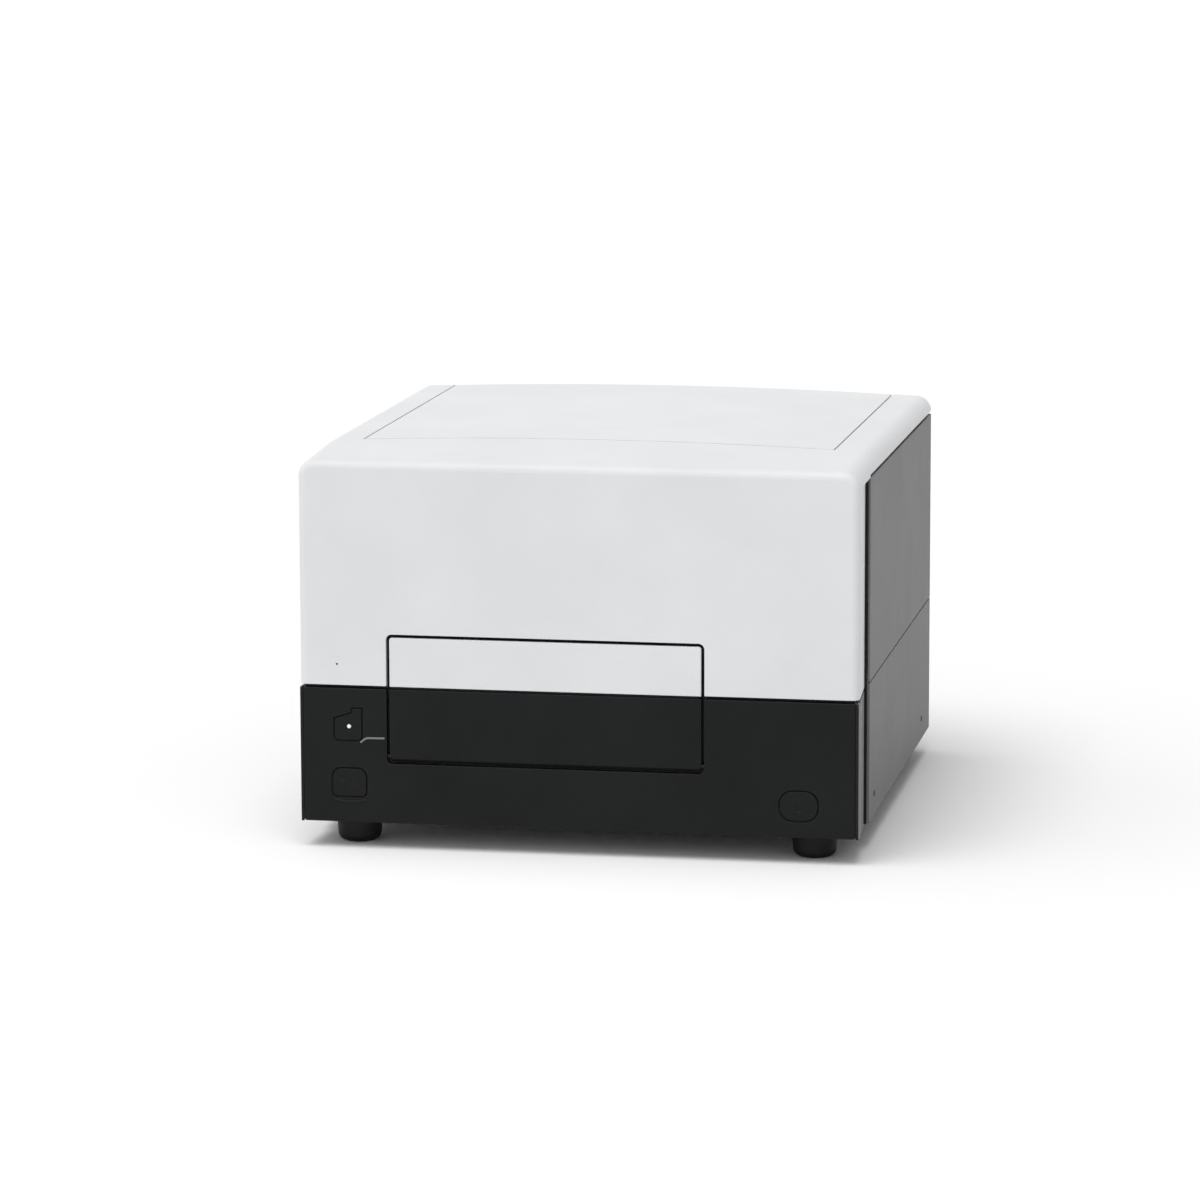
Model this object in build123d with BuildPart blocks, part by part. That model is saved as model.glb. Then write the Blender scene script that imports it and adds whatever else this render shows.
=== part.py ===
from build123d import *
import os
from math import cos, radians, sin

os.makedirs("parts", exist_ok=True)

# Benchtop microplate reader.  Millimetres, +Z up, front towards -Y.
# The origin is on the bench, under the middle of the housing.

# ---------------------------------------------------------------- housing
width = 425.0
depth = 435.0
foot_height = 20.0
seam_height = 124.5
side_seam_height = 128.0
crease_height = 299.0
eave_drop = 3.0
rear_drop = 5.4
crown = 4.4
crease_setback = 90.0
flank_depth = 60.0
roll_radius = 12.0
front_edge_radius = 6.0
cover_wall = 3.0
sheet = 1.5
seam_gap = 2.4
panel_gap = 1.2
side_gap = 2.5
slack = 0.3
bore_slack = 0.02
run_slack = 0.05
front_y = -depth / 2
rear_y = depth / 2
flank_y = front_y + flank_depth
crease_y = front_y + crease_setback
side_x = width / 2
eave_height = crease_height - eave_drop
rear_height = crease_height - rear_drop
top_height = max(crease_height, eave_height, rear_height) + crown

# lid let into the top
lid_margin = 31.5
lid_ledge = 9.0
ledge_thickness = 2.0
lid_half_width = side_x - lid_margin

# lower front
panel_thickness = 6.0
panel_edge_radius = 1.2
frame_wall = 3.0
frame_lip = 1.2
lip_setback = 1.0
panel_side_gap = 1.2
panel_corner = 2.0
flank_groove = 0.8
flank_groove_width = 2.5
flank_groove_setback = 26.0
flank_draft = 3.5

# plate door
door_width = 237.2
door_bottom = 68.6
door_top = 162.7
door_inset = 69.3
door_gap = 2.6
door_corner = 2.0
least_corner = 0.5
seal_corner = 4.0
skin_seam = 0.4
skin_thickness = 3.0
hinge_radius = 3.0
hinge_pin_radius = 1.5
hinge_pin_length = 22.0
hinge_pin_bite = 10.0
pin_slack = 0.06
backing_inset = 2.0
seal_width = 3.5
door_seal_inset = 1.0
sleeve_wall = 2.5
sleeve_flange = 9.0
sleeve_depth = 12.0
door_left = -side_x + door_inset
door_right = door_left + door_width
door_centre_x = door_left + door_width / 2

# front controls
button_travel = 2.0
button_slack = 0.35
button_groove = 0.8
button_groove_depth = 1.4
button_edge = 0.9
led_dish_radius = 3.4
led_dish_depth = 0.7
button_flange = 1.5
button_rim = 1.6
plunger_radius = 3.0
plunger_length = 6.0
status_inset = 26.5
status_low = 83.2
status_size = (21.0, 24.6)
led_offset = (11.2, 10.8)
led_radius = 1.6
led_slack = 0.1
plate_button_inset = 37.7
plate_button_z = 50.8
plate_button_size = (26.0, 21.6)
power_button_inset = 44.9
power_button_z = 44.3
power_button_size = (29.0, 22.5)
board_thickness = 1.6
switch_size = 6.0
switch_height = 3.5
switch_stem_radius = 1.75
pinhole_inset = 29.0
pinhole_z = 141.6
pinhole_radius = 0.8

# feet
foot_radius = 17.5
foot_taper = 1.5
foot_round = 6.0
foot_inset = 37.5
front_foot_setback = 35.0
rear_foot_setback = 45.0
foot_screw_radius = 2.5
foot_head_radius = 4.5
foot_head_height = 3.0
foot_recess_depth = 12.0
screw_slack = 0.3

# transport
deck_height = 61.0
deck_thickness = 2.0
deck_side_gap = 22.5
deck_foot = 16.0
scan_travel = 45.0
rear_bay = 61.0
rod_radius = 5.0
rod_half_spacing = 135.0
rod_height = 85.0
rod_block_depth = 14.0
rod_block_width = 24.0
bush_wall = 3.0
bush_thickness = 1.5
bush_length = 16.0
stage_length = 80.0
stage_thickness = 5.0
stage_overhang = 11.0
cross_rod_radius = 4.0
cross_rod_offset = 12.0
cross_rod_lift = 11.0
cheek_thickness = 6.0
cheek_slack = 9.0
screw_radius = 4.0
screw_lead = 20.0
screw_starts = 2
screw_groove = 2.0
screw_thread_depth = 0.5
scan_motor_size = 20.0
scan_motor_length = 24.0
stage_margin = 3.0

# plate carrier
plate_length = 127.76
plate_width = 85.48
plate_slack = 0.4
carrier_wall = 3.72
carrier_lip = 5.0
carrier_reach = 110.0
carrier_thickness = 8.0
seat_depth = 4.0
seat_ledge = 5.0
block_depth = 40.0
lever_length = 26.0
lever_width = 6.0
lever_thickness = 3.0
lever_pin_radius = 2.0

# belt drive
motor_size = 42.0
motor_length = 38.0
motor_shaft_radius = 2.5
motor_gap = 6.0
pulley_radius = 8.0
pulley_width = 11.0
pulley_teeth = 16
belt_width = 9.0
belt_thickness = 1.4
belt_offset = 92.0
idler_setback = 46.0

# optics
bridge_height = 158.0
bridge_thickness = 6.0
bridge_side_gap = 24.5
bridge_lead = 65.0
bridge_board_gap = 35.9
post_radius = 7.0
post_edge = 9.0
post_setback = 16.0
mono_size = (120.0, 110.0, 70.0)
mono_gap = 4.0
grating_radius = 16.0
grating_height = 10.0
head_width = 40.0
head_depth = 54.0
head_height = 46.0
head_nose_radius = 11.5
light_path_radius = 5.0
nose_drop = 14.0
lamp_size = (64.0, 70.0, 52.0)
lamp_fin = (2.0, 60.0, 10.0)
lamp_fin_pitch = 8.0
tube_base = (70.0, 60.0, 12.0)
tube_radius = 20.0
tube_height = 62.0
lamp_setback = 50.0

# electronics
supply_size = (100.0, 190.0, 30.0)
supply_inset = 127.5
supply_setback = 147.5
board_size = (120.0, 130.0)
board_low = 112.0
board_fan_gap = 7.0
board_setback = 22.0
board_post_inset = 5.0

# electronics and rear
rear_recess = 3.5
fan_size = 80.0
fan_depth = 20.0
fan_hub_radius = 17.0
fan_blade_count = 7
fan_inset = 100.5
fan_z = 212.0
inlet_inset = 60.5
inlet_z = 66.0
inlet_size = (27.6, 20.4)
inlet_recess = 15.0
rocker_size = (19.0, 13.0)
rocker_tilt = 8.0
trunnion_radius = 1.5
trunnion_reach = 1.4
rocker_inset = 100.5
port_inset = 152.5
port_size = (12.0, 11.0)
vent_width = 4.0
vent_length = 46.0
vent_pitch = 9.0
vent_count = 11
vent_inset = 102.5
case_screw_radius = 1.5


def facing(y):
    """Upright plane across the body at depth y, read as seen from the front."""
    return Plane.XZ.offset(-y)


def flank(x):
    """Upright plane along the body at x, read as seen from the right."""
    return Plane.YZ.offset(x)


def level(z):
    """Horizontal plane at height z."""
    return Plane.XY.offset(z)


def top_at(y):
    """Height of the top beside the crown, at depth y."""
    if y < crease_y:
        share = (y - front_y) / crease_setback
        return eave_height + (crease_height - eave_height) * share
    share = (y - crease_y) / (rear_y - crease_y)
    return crease_height + (rear_height - crease_height) * share


# ---------------------------------------------------------------- upper housing
def cover_block(inset, overrun=0.0):
    """Solid form of the upper housing, drawn in by inset and open-ended to the rear."""
    low = seam_height + seam_gap / 2 - (1.0 if inset else 0.0)
    half = side_x - inset
    roll = roll_radius - inset
    stations = (
        (front_y + inset, eave_height, 0.0),
        (crease_y, crease_height, crown),
        (rear_y + overrun, rear_height, crown),
    )
    with BuildPart() as block:
        for y, height, rise in stations:
            top = height - inset
            with BuildSketch(facing(y)):
                with BuildLine():
                    Line((-half, low), (-half, top - roll))
                    CenterArc((-half + roll, top - roll), roll, 180, -90)
                    if rise:
                        ThreePointArc((-half + roll, top), (0, top + rise), (half - roll, top))
                    else:
                        Line((-half + roll, top), (half - roll, top))
                    CenterArc((half - roll, top - roll), roll, 90, -90)
                    Line((half, top - roll), (half, low))
                    Line((half, low), (-half, low))
                make_face()
        loft(ruled=True)
    return block.part


def flank_wedges(skin):
    """Slivers outside the leaning flanks, below the rolled edges, moved in by skin."""
    taper_front = front_y + front_edge_radius
    with BuildPart() as wedges:
        with BuildSketch(level(0)):
            Polygon(
                (side_x - skin, taper_front),
                (side_x + 1, taper_front),
                (side_x + 1, flank_y),
                (side_x - flank_draft - skin, flank_y),
                align=None,
            )
            mirror(about=Plane.YZ)
        extrude(amount=eave_height - roll_radius + skin)
    return wedges.part


def lid_zone(margin):
    """Column over the lid's place, grown by margin."""
    with BuildPart() as zone:
        with BuildSketch(level(seam_height + seam_gap)):
            with Locations((0, (crease_y - margin + rear_y + 2) / 2)):
                Rectangle(2 * (lid_half_width + margin), rear_y + 2 - crease_y + margin)
        extrude(amount=top_height - seam_height)
    return zone.part


def door_opening(grow):
    """Rounded outline of the plate door grown all round, as a prism through the front."""
    with BuildPart() as prism:
        with BuildSketch(facing(front_y - 1)):
            with Locations((door_centre_x, (door_bottom + door_top) / 2)):
                RectangleRounded(
                    door_width + 2 * grow, door_top - door_bottom + 2 * grow, door_corner + grow
                )
        extrude(amount=-(panel_thickness + frame_wall + 2))
    return prism.part


cover_outer = cover_block(0)
cover_inner = cover_block(cover_wall, 1.0)
cover_void = cover_inner - flank_wedges(cover_wall)
# ledge that carries the lid on three sides
ledge_ring = cover_inner & lid_zone(lid_ledge)
ledge_ring = ledge_ring - cover_block(cover_wall + ledge_thickness, 1.0) - lid_zone(-lid_ledge)
flank_sliver = flank_wedges(0)
lid_cut = lid_zone(panel_gap / 2)
door_cut = door_opening(door_gap)
roll_low_front = top_at(flank_y) - roll_radius
roll_low_rear = rear_height - roll_radius

with BuildPart() as upper_cover:
    add(cover_outer)
    front_face = upper_cover.faces().sort_by(Axis.Y)[0]
    front_rim = front_face.edges().sort_by(Axis.Z)[1:]
    fillet(front_rim, front_edge_radius)
    add(flank_sliver, mode=Mode.SUBTRACT)
    add(cover_void, mode=Mode.SUBTRACT)
    # flanks stop at the vertical seam; behind it only the rolled edges go on
    with BuildSketch(Plane.YZ):
        Polygon(
            (flank_y, seam_height - 2),
            (flank_y, roll_low_front),
            (rear_y + 2, roll_low_rear),
            (rear_y + 2, seam_height - 2),
            align=None,
        )
    extrude(amount=side_x + 1, both=True, mode=Mode.SUBTRACT)
    add(lid_cut, mode=Mode.SUBTRACT)
    add(door_cut, mode=Mode.SUBTRACT)
    with BuildSketch(facing(front_y - 1)):
        with Locations((-side_x + pinhole_inset, pinhole_z)):
            Circle(pinhole_radius)
    extrude(amount=-(cover_wall + 2), mode=Mode.SUBTRACT)
    add(ledge_ring)
    split(bisect_by=facing(rear_y), keep=Keep.TOP)
upper_cover.part.label = "upper_cover"
export_step(upper_cover.part, "parts/upper_cover.step")

lid_void = cover_block(cover_wall - slack, 1.0)
lid_outline = lid_zone(-panel_gap / 2)
with BuildPart() as top_lid:
    add(cover_outer)
    add(lid_void, mode=Mode.SUBTRACT)
    add(lid_outline, mode=Mode.INTERSECT)
    split(bisect_by=facing(rear_y - sheet), keep=Keep.TOP)
top_lid.part.label = "top_lid"
export_step(top_lid.part, "parts/top_lid.step")

# ---------------------------------------------------------------- side panels
tuck = cover_wall + 2 * slack
tuck_rise = 3.5
for side, sign in (("right", 1), ("left", -1)):
    with BuildPart() as side_panel:
        for y, roll_low in ((flank_y + panel_gap, roll_low_front), (rear_y, roll_low_rear)):
            top = roll_low - side_gap
            outer = sign * side_x
            inner = sign * (side_x - sheet)
            tucked = sign * (side_x - tuck)
            tucked_inner = sign * (side_x - tuck - sheet)
            low = side_seam_height + panel_gap / 2
            with BuildSketch(facing(y)):
                Polygon(
                    (outer, low),
                    (outer, top),
                    (tucked, top),
                    (tucked, top + tuck_rise),
                    (tucked_inner, top + tuck_rise),
                    (tucked_inner, top - sheet),
                    (inner, top - sheet),
                    (inner, low),
                    align=None,
                )
        loft(ruled=True)
    side_panel.part.label = f"side_panel_{side}"
    export_step(side_panel.part, f"parts/side_panel_{side}.step")

# ---------------------------------------------------------------- base tray
tray_low = foot_height
tray_top = side_seam_height - panel_gap / 2
tray_flange_x = side_x - sheet - slack
flange_rise = 8.0
tray_return = 9.0
screw_row_y = rear_y - 52.0
screw_row_z = 37.0
frame_floor = tray_low + frame_wall
foot_x = side_x - foot_inset
front_foot_y = front_y + front_foot_setback
rear_foot_y = rear_y - rear_foot_setback

with BuildPart() as base_tray:
    with BuildSketch(facing(flank_y + panel_gap)):
        with BuildLine():
            Polyline(
                (0, tray_low),
                (side_x, tray_low),
                (side_x, tray_top),
                (tray_flange_x, tray_top),
                (tray_flange_x, tray_top + flange_rise),
                (tray_flange_x - sheet, tray_top + flange_rise),
                (tray_flange_x - sheet, tray_top - sheet),
                (side_x - sheet, tray_top - sheet),
                (side_x - sheet, tray_low + sheet),
                (0, tray_low + sheet),
                (0, tray_low),
            )
        make_face()
        mirror(about=Plane.YZ)
    extrude(amount=-(rear_y - flank_y - panel_gap))
    # returns at the front edges, which close the seams behind the flanks
    with BuildSketch(facing(flank_y + panel_gap)):
        with Locations((0, (tray_low + tray_top) / 2)):
            Rectangle(width, tray_top - tray_low)
            Rectangle(width - 2 * tray_return, tray_top - tray_low, mode=Mode.SUBTRACT)
    extrude(amount=-sheet)
    # step that laps over the floor of the front frame
    with BuildSketch(flank(-(side_x - 10))):
        Polygon(
            (flank_y + 14, tray_low),
            (flank_y + 14, frame_floor + slack + sheet),
            (flank_y - 14, frame_floor + slack + sheet),
            (flank_y - 14, frame_floor + slack),
            (flank_y + 14 - sheet, frame_floor + slack),
            (flank_y + 14 - sheet, tray_low),
            align=None,
        )
    extrude(amount=2 * (side_x - 10))
    with BuildSketch(level(tray_low - 1)):
        with Locations((-foot_x, rear_foot_y), (foot_x, rear_foot_y)):
            Circle(foot_screw_radius + screw_slack)
        with Locations((0, 40)):
            with GridLocations(26, 90, 6, 2):
                SlotOverall(60, vent_width, rotation=90)
    extrude(amount=frame_wall + sheet + 2, mode=Mode.SUBTRACT)
    with BuildSketch(flank(-side_x - 1)):
        with Locations((screw_row_y, screw_row_z), (flank_y + 30, screw_row_z)):
            Circle(case_screw_radius + screw_slack)
    extrude(amount=width + 2, mode=Mode.SUBTRACT)
base_tray.part.label = "base_tray"
export_step(base_tray.part, "parts/base_tray.step")

# ---------------------------------------------------------------- front frame
panel_back = front_y + panel_thickness
frame_back = panel_back + frame_wall
panel_top = seam_height - seam_gap / 2
lip_front = front_y + lip_setback
board_y = frame_back + 11.0
status_left = -side_x + status_inset
status_centre = (status_left + status_size[0] / 2, status_low + status_size[1] / 2)
led_place = (status_left + led_offset[0], status_low + led_offset[1])
plate_button_centre = (-side_x + plate_button_inset, plate_button_z)
power_button_centre = (side_x - power_button_inset, power_button_z)


def status_outline(grow):
    """Upper left key: a clipped corner and an upright tab, grown all round."""
    left, low = status_left, status_low
    wide, high = status_size
    with BuildSketch() as outline:
        Polygon(
            (left, low),
            (left + wide, low),
            (left + wide, low + high),
            (left + wide - 7.5, low + high),
            (left + wide - 7.5, low + high - 3.5),
            (left, low + high - 8),
            align=None,
        )
        fillet(outline.vertices().sort_by(Axis.Y)[:2], 3.5)
        if grow:
            offset(amount=grow)
    return outline.sketch


def plate_button_outline(grow):
    """Lower left key: broad rounded shoulders over a flatter base, grown all round."""
    with BuildSketch() as outline:
        with Locations(plate_button_centre):
            Rectangle(*plate_button_size)
        fillet(outline.vertices().group_by(Axis.Y)[1], 6.5)
        fillet(outline.vertices().group_by(Axis.Y)[0], 4.0)
        if grow:
            offset(amount=grow)
    return outline.sketch


def power_button_outline(grow):
    """Right key: a soft oval, grown all round."""
    with BuildSketch() as outline:
        with Locations(power_button_centre):
            RectangleRounded(
                power_button_size[0] + 2 * grow, power_button_size[1] + 2 * grow, 10.0 + grow
            )
    return outline.sketch


button_outlines = (status_outline, plate_button_outline, power_button_outline)


def button_holes(grow, y, reach):
    """Prisms through the front at each key, grown all round."""
    with BuildPart() as holes:
        with BuildSketch(facing(y)):
            for outline in button_outlines:
                add(outline(grow))
        extrude(amount=-reach)
    return holes.part


# posts of the switch boards: inset from the left and right side, and their heights
left_posts = [(-side_x + inset, z) for z in (116.0, 30.0) for inset in (20.5, 54.5)]
right_posts = [(side_x - inset, z) for z in (62.0, 28.0) for inset in (63.5, 25.5)]
board_posts = left_posts + right_posts
post_screw_radius = 1.2
rim_holes = button_holes(button_rim + 1.2, panel_back - 1, frame_wall + 2)

groove_y = flank_y - flank_groove_setback
groove_x = side_x - flank_draft * (groove_y - panel_back) / (flank_y - panel_back)

with BuildPart() as front_frame:
    with BuildSketch(level(tray_low)):
        Polygon(
            (-side_x, lip_front),
            (side_x, lip_front),
            (side_x, panel_back),
            (side_x - flank_draft, flank_y),
            (flank_draft - side_x, flank_y),
            (-side_x, panel_back),
            align=None,
        )
    extrude(amount=panel_top - tray_low)
    with BuildSketch(level(frame_floor)):
        Polygon(
            (frame_wall - side_x, panel_back),
            (side_x - frame_wall, panel_back),
            (side_x - frame_wall - flank_draft, flank_y),
            (flank_draft + frame_wall - side_x, flank_y),
            align=None,
        )
    extrude(amount=panel_top, mode=Mode.SUBTRACT)
    # rebate for the dark panel, open in front and below
    with BuildSketch(level(tray_low)):
        with Locations((0, (front_y + panel_back) / 2)):
            Rectangle(width - 2 * frame_lip, panel_thickness)
    extrude(amount=panel_top, mode=Mode.SUBTRACT)
    # front wall, with an upstand behind the light cover
    with BuildSketch(facing(panel_back)):
        with Locations((0, (tray_low + panel_top) / 2)):
            Rectangle(width - frame_wall, panel_top - tray_low)
        with Locations((0, (panel_top + door_top + 12) / 2)):
            Rectangle(width - 2 * (cover_wall + 2 * slack), door_top + 12 - panel_top)
    extrude(amount=-frame_wall)
    for x, z in board_posts:
        with BuildSketch(facing(frame_back)):
            with Locations((x, z)):
                Circle(3.0)
                Circle(post_screw_radius, mode=Mode.SUBTRACT)
        extrude(amount=-(board_y - frame_back))
    add(door_cut, mode=Mode.SUBTRACT)
    add(rim_holes, mode=Mode.SUBTRACT)
    with BuildSketch(level(tray_low - 1)):
        with Locations((-foot_x, front_foot_y), (foot_x, front_foot_y)):
            Circle(foot_screw_radius + screw_slack)
    extrude(amount=frame_wall + 2, mode=Mode.SUBTRACT)
    # fine upright groove in each flank
    with BuildSketch(level(tray_low + 1)):
        with Locations((-groove_x, groove_y), (groove_x, groove_y)):
            Rectangle(2 * flank_groove, flank_groove_width)
    extrude(amount=panel_top - tray_low, mode=Mode.SUBTRACT)
front_frame.part.label = "front_frame"
export_step(front_frame.part, "parts/front_frame.step")

# ---------------------------------------------------------------- dark lower panel
hinge_y = front_y + hinge_radius
hinge_z = door_bottom + hinge_radius

key_holes = button_holes(button_slack, front_y - 1, panel_thickness + 2)
key_grooves = button_holes(
    button_slack + button_groove, front_y - 1, button_groove_depth + 1
)

with BuildPart() as lower_front_panel:
    with BuildSketch(facing(front_y)) as panel_face:
        with Locations((0, (tray_low + slack + panel_top) / 2)):
            Rectangle(width - 2 * (frame_lip + panel_side_gap), panel_top - tray_low - slack)
        fillet(panel_face.vertices(), panel_corner)
    extrude(amount=-panel_thickness)
    front_rim = lower_front_panel.faces().sort_by(Axis.Y)[0].edges()
    fillet(front_rim, panel_edge_radius)
    add(door_cut, mode=Mode.SUBTRACT)
    add(key_holes, mode=Mode.SUBTRACT)
    add(key_grooves, mode=Mode.SUBTRACT)
    with BuildSketch(flank(door_left - hinge_pin_length + hinge_pin_bite)):
        with Locations((hinge_y, hinge_z)):
            Circle(hinge_pin_radius + bore_slack)
    extrude(amount=door_width + 2 * (hinge_pin_length - hinge_pin_bite), mode=Mode.SUBTRACT)
lower_front_panel.part.label = "lower_front_panel"
export_step(lower_front_panel.part, "parts/lower_front_panel.step")

# ---------------------------------------------------------------- plate door
door_high = door_top - door_bottom
split_low = panel_top - skin_seam / 2
split_high = seam_height + seam_gap / 2 - skin_seam


def door_slab(y, thickness, grow, low, high):
    """Slice of the door outline between two heights."""
    corner = max(door_corner + grow, least_corner)
    with BuildPart() as slab:
        with BuildSketch(facing(y)):
            with Locations((door_centre_x, (door_bottom + door_top) / 2)):
                RectangleRounded(door_width + 2 * grow, door_high + 2 * grow, corner)
            with Locations((door_centre_x, (low + high) / 2)):
                Rectangle(door_width + 2, high - low, mode=Mode.INTERSECT)
        extrude(amount=-thickness)
    return slab.part


upper_slab = door_slab(front_y, skin_thickness, 0, split_high, door_top)
with BuildPart() as door_skin_upper:
    add(upper_slab)
    front_rim = door_skin_upper.faces().sort_by(Axis.Y)[0].edges()
    fillet(front_rim, 0.5)
door_skin_upper.part.label = "door_skin_upper"
export_step(door_skin_upper.part, "parts/door_skin_upper.step")

lower_slab = door_slab(front_y, skin_thickness, 0, hinge_z, split_low)
with BuildPart() as door_skin_lower:
    add(lower_slab)
    # rolled lower edge round the hinge line
    with BuildSketch(flank(door_left + door_corner / 2)):
        with Locations((hinge_y, hinge_z)):
            Circle(hinge_radius)
    extrude(amount=door_width - door_corner)
    for x in (door_left, door_right - hinge_pin_bite - 1):
        with BuildSketch(flank(x)):
            with Locations((hinge_y, hinge_z)):
                Circle(hinge_pin_radius + pin_slack)
        extrude(amount=hinge_pin_bite + 1, mode=Mode.SUBTRACT)
door_skin_lower.part.label = "door_skin_lower"
export_step(door_skin_lower.part, "parts/door_skin_lower.step")

backing_y = front_y + skin_thickness
backing_low = hinge_z + hinge_radius + slack
backing_thickness = panel_thickness - skin_thickness
backing_slab = door_slab(backing_y, backing_thickness, -backing_inset, backing_low, door_top)
with BuildPart() as door_backing:
    add(backing_slab)
    # stiffening pockets on the inside
    with BuildSketch(facing(panel_back)):
        with Locations((door_centre_x, (backing_low + door_top) / 2)):
            with GridLocations(56, 38, 4, 2):
                RectangleRounded(50, 32, 3)
    extrude(amount=1.6, mode=Mode.SUBTRACT)
door_backing.part.label = "door_backing"
export_step(door_backing.part, "parts/door_backing.step")

seal_depth = frame_back - panel_back - slack
with BuildPart() as door_seal:
    with BuildSketch(facing(panel_back)):
        with Locations((door_centre_x, (backing_low + door_top - backing_inset) / 2)):
            RectangleRounded(
                door_width - 2 * (backing_inset + door_seal_inset),
                door_top - backing_inset - backing_low - 2 * door_seal_inset,
                seal_corner,
            )
            RectangleRounded(
                door_width - 2 * (backing_inset + door_seal_inset + seal_width),
                door_top - backing_inset - backing_low - 2 * (door_seal_inset + seal_width),
                seal_corner / 2,
                mode=Mode.SUBTRACT,
            )
    extrude(amount=-seal_depth)
    fillet(door_seal.faces().sort_by(Axis.Y)[-1].edges(), 0.9)
door_seal.part.label = "door_seal"
export_step(door_seal.part, "parts/door_seal.step")

with BuildPart() as hinge_pins:
    for x in (door_left + hinge_pin_bite - hinge_pin_length, door_right - hinge_pin_bite):
        with BuildSketch(flank(x)):
            with Locations((hinge_y, hinge_z)):
                Circle(hinge_pin_radius)
        extrude(amount=hinge_pin_length)
hinge_pins.part.label = "hinge_pins"
export_step(hinge_pins.part, "parts/hinge_pins.step")

# light-tight sleeve behind the door
sleeve_clear_w = door_width - 2 * (backing_inset + door_seal_inset + seal_width - 1.5)
sleeve_low = backing_low + door_seal_inset + seal_width - 1.5
sleeve_high = door_top - backing_inset - door_seal_inset - seal_width + 1.5
sleeve_mid = (sleeve_low + sleeve_high) / 2
sleeve_clear_h = sleeve_high - sleeve_low
with BuildPart() as door_sleeve:
    with BuildSketch(facing(frame_back)):
        with Locations((door_centre_x, sleeve_mid)):
            RectangleRounded(
                door_width + 2 * sleeve_flange, door_high + 2 * sleeve_flange, seal_corner
            )
    extrude(amount=-sleeve_wall)
    with BuildSketch(facing(frame_back)):
        with Locations((door_centre_x, sleeve_mid)):
            RectangleRounded(
                sleeve_clear_w + 2 * sleeve_wall, sleeve_clear_h + 2 * sleeve_wall, seal_corner
            )
    extrude(amount=-sleeve_depth)
    with BuildSketch(facing(frame_back - 1)):
        with Locations((door_centre_x, sleeve_mid)):
            RectangleRounded(sleeve_clear_w, sleeve_clear_h, seal_corner / 2)
    extrude(amount=-(sleeve_depth + 2), mode=Mode.SUBTRACT)
door_sleeve.part.label = "door_sleeve"
export_step(door_sleeve.part, "parts/door_sleeve.step")

# ---------------------------------------------------------------- keys and switch boards
button_specs = (
    ("status_button", status_outline, status_centre),
    ("plate_button", plate_button_outline, plate_button_centre),
    ("power_button", power_button_outline, power_button_centre),
)
for name, outline, centre in button_specs:
    with BuildPart() as button:
        with BuildSketch(facing(front_y)):
            add(outline(0))
        extrude(amount=-(panel_thickness + slack))
        fillet(button.faces().sort_by(Axis.Y)[0].edges(), button_edge)
        with BuildSketch(facing(panel_back + slack)):
            add(outline(button_rim))
        extrude(amount=-button_flange)
        with BuildSketch(facing(panel_back + slack + button_flange)):
            with Locations(centre):
                Circle(plunger_radius)
        extrude(amount=-plunger_length)
        if name == "status_button":
            with BuildSketch(facing(front_y)):
                with Locations(led_place):
                    Circle(led_radius + led_slack)
            extrude(amount=-panel_thickness, mode=Mode.SUBTRACT)
            with BuildSketch(facing(front_y)):
                with Locations(led_place):
                    Circle(led_dish_radius)
            extrude(amount=-led_dish_depth, mode=Mode.SUBTRACT)
    button.part.label = name
    export_step(button.part, f"parts/{name}.step")

with BuildPart() as status_led:
    with BuildSketch(facing(front_y)):
        with Locations(led_place):
            Circle(led_radius)
    extrude(amount=-(panel_thickness - 0.2))
    fillet(status_led.faces().sort_by(Axis.Y)[0].edges(), 0.5)
status_led.part.label = "status_led"
export_step(status_led.part, "parts/status_led.step")

plunger_end = panel_back + slack + button_flange + plunger_length
stem_front = plunger_end + button_travel + slack
board_specs = (
    (left_posts, (status_centre, plate_button_centre)),
    (right_posts, (power_button_centre,)),
)
with BuildPart() as switch_boards:
    for posts, keys in board_specs:
        xs = [x for x, z in posts]
        zs = [z for x, z in posts]
        with BuildSketch(facing(board_y)):
            with Locations(((min(xs) + max(xs)) / 2, (min(zs) + max(zs)) / 2)):
                RectangleRounded(max(xs) - min(xs) + 8, max(zs) - min(zs) + 8, 2)
            with Locations(*posts):
                Circle(post_screw_radius, mode=Mode.SUBTRACT)
        extrude(amount=-board_thickness)
        with BuildSketch(facing(board_y)):
            with Locations(*keys):
                Rectangle(switch_size, switch_size)
        extrude(amount=min(switch_height, board_y - stem_front - 0.5))
        with BuildSketch(facing(board_y)):
            with Locations(*keys):
                Circle(switch_stem_radius)
        extrude(amount=board_y - stem_front)
switch_boards.part.label = "switch_boards"
export_step(switch_boards.part, "parts/switch_boards.step")

# ---------------------------------------------------------------- feet
foot_places = (
    ("front_left", -foot_x, front_foot_y),
    ("front_right", foot_x, front_foot_y),
    ("rear_left", -foot_x, rear_foot_y),
    ("rear_right", foot_x, rear_foot_y),
)
for name, x, y in foot_places:
    with BuildPart() as foot:
        with BuildSketch(Plane(origin=(x, y, 0), x_dir=(1, 0, 0), z_dir=(0, -1, 0))) as foot_section:
            with BuildLine():
                Polyline(
                    (foot_head_radius + 1.5, foot_recess_depth),
                    (foot_head_radius + 1.5, 0),
                    (foot_radius - foot_taper, 0),
                    (foot_radius, foot_height),
                    (foot_screw_radius + screw_slack, foot_height),
                    (foot_screw_radius + screw_slack, foot_recess_depth),
                    (foot_head_radius + 1.5, foot_recess_depth),
                )
            make_face()
            corner = foot_section.vertices().group_by(Axis.Y)[0].sort_by(Axis.X)[-1]
            fillet(corner, foot_round)
        revolve(axis=Axis((x, y, 0), (0, 0, 1)))
    foot.part.label = f"foot_{name}"
    export_step(foot.part, f"parts/foot_{name}.step")

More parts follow.
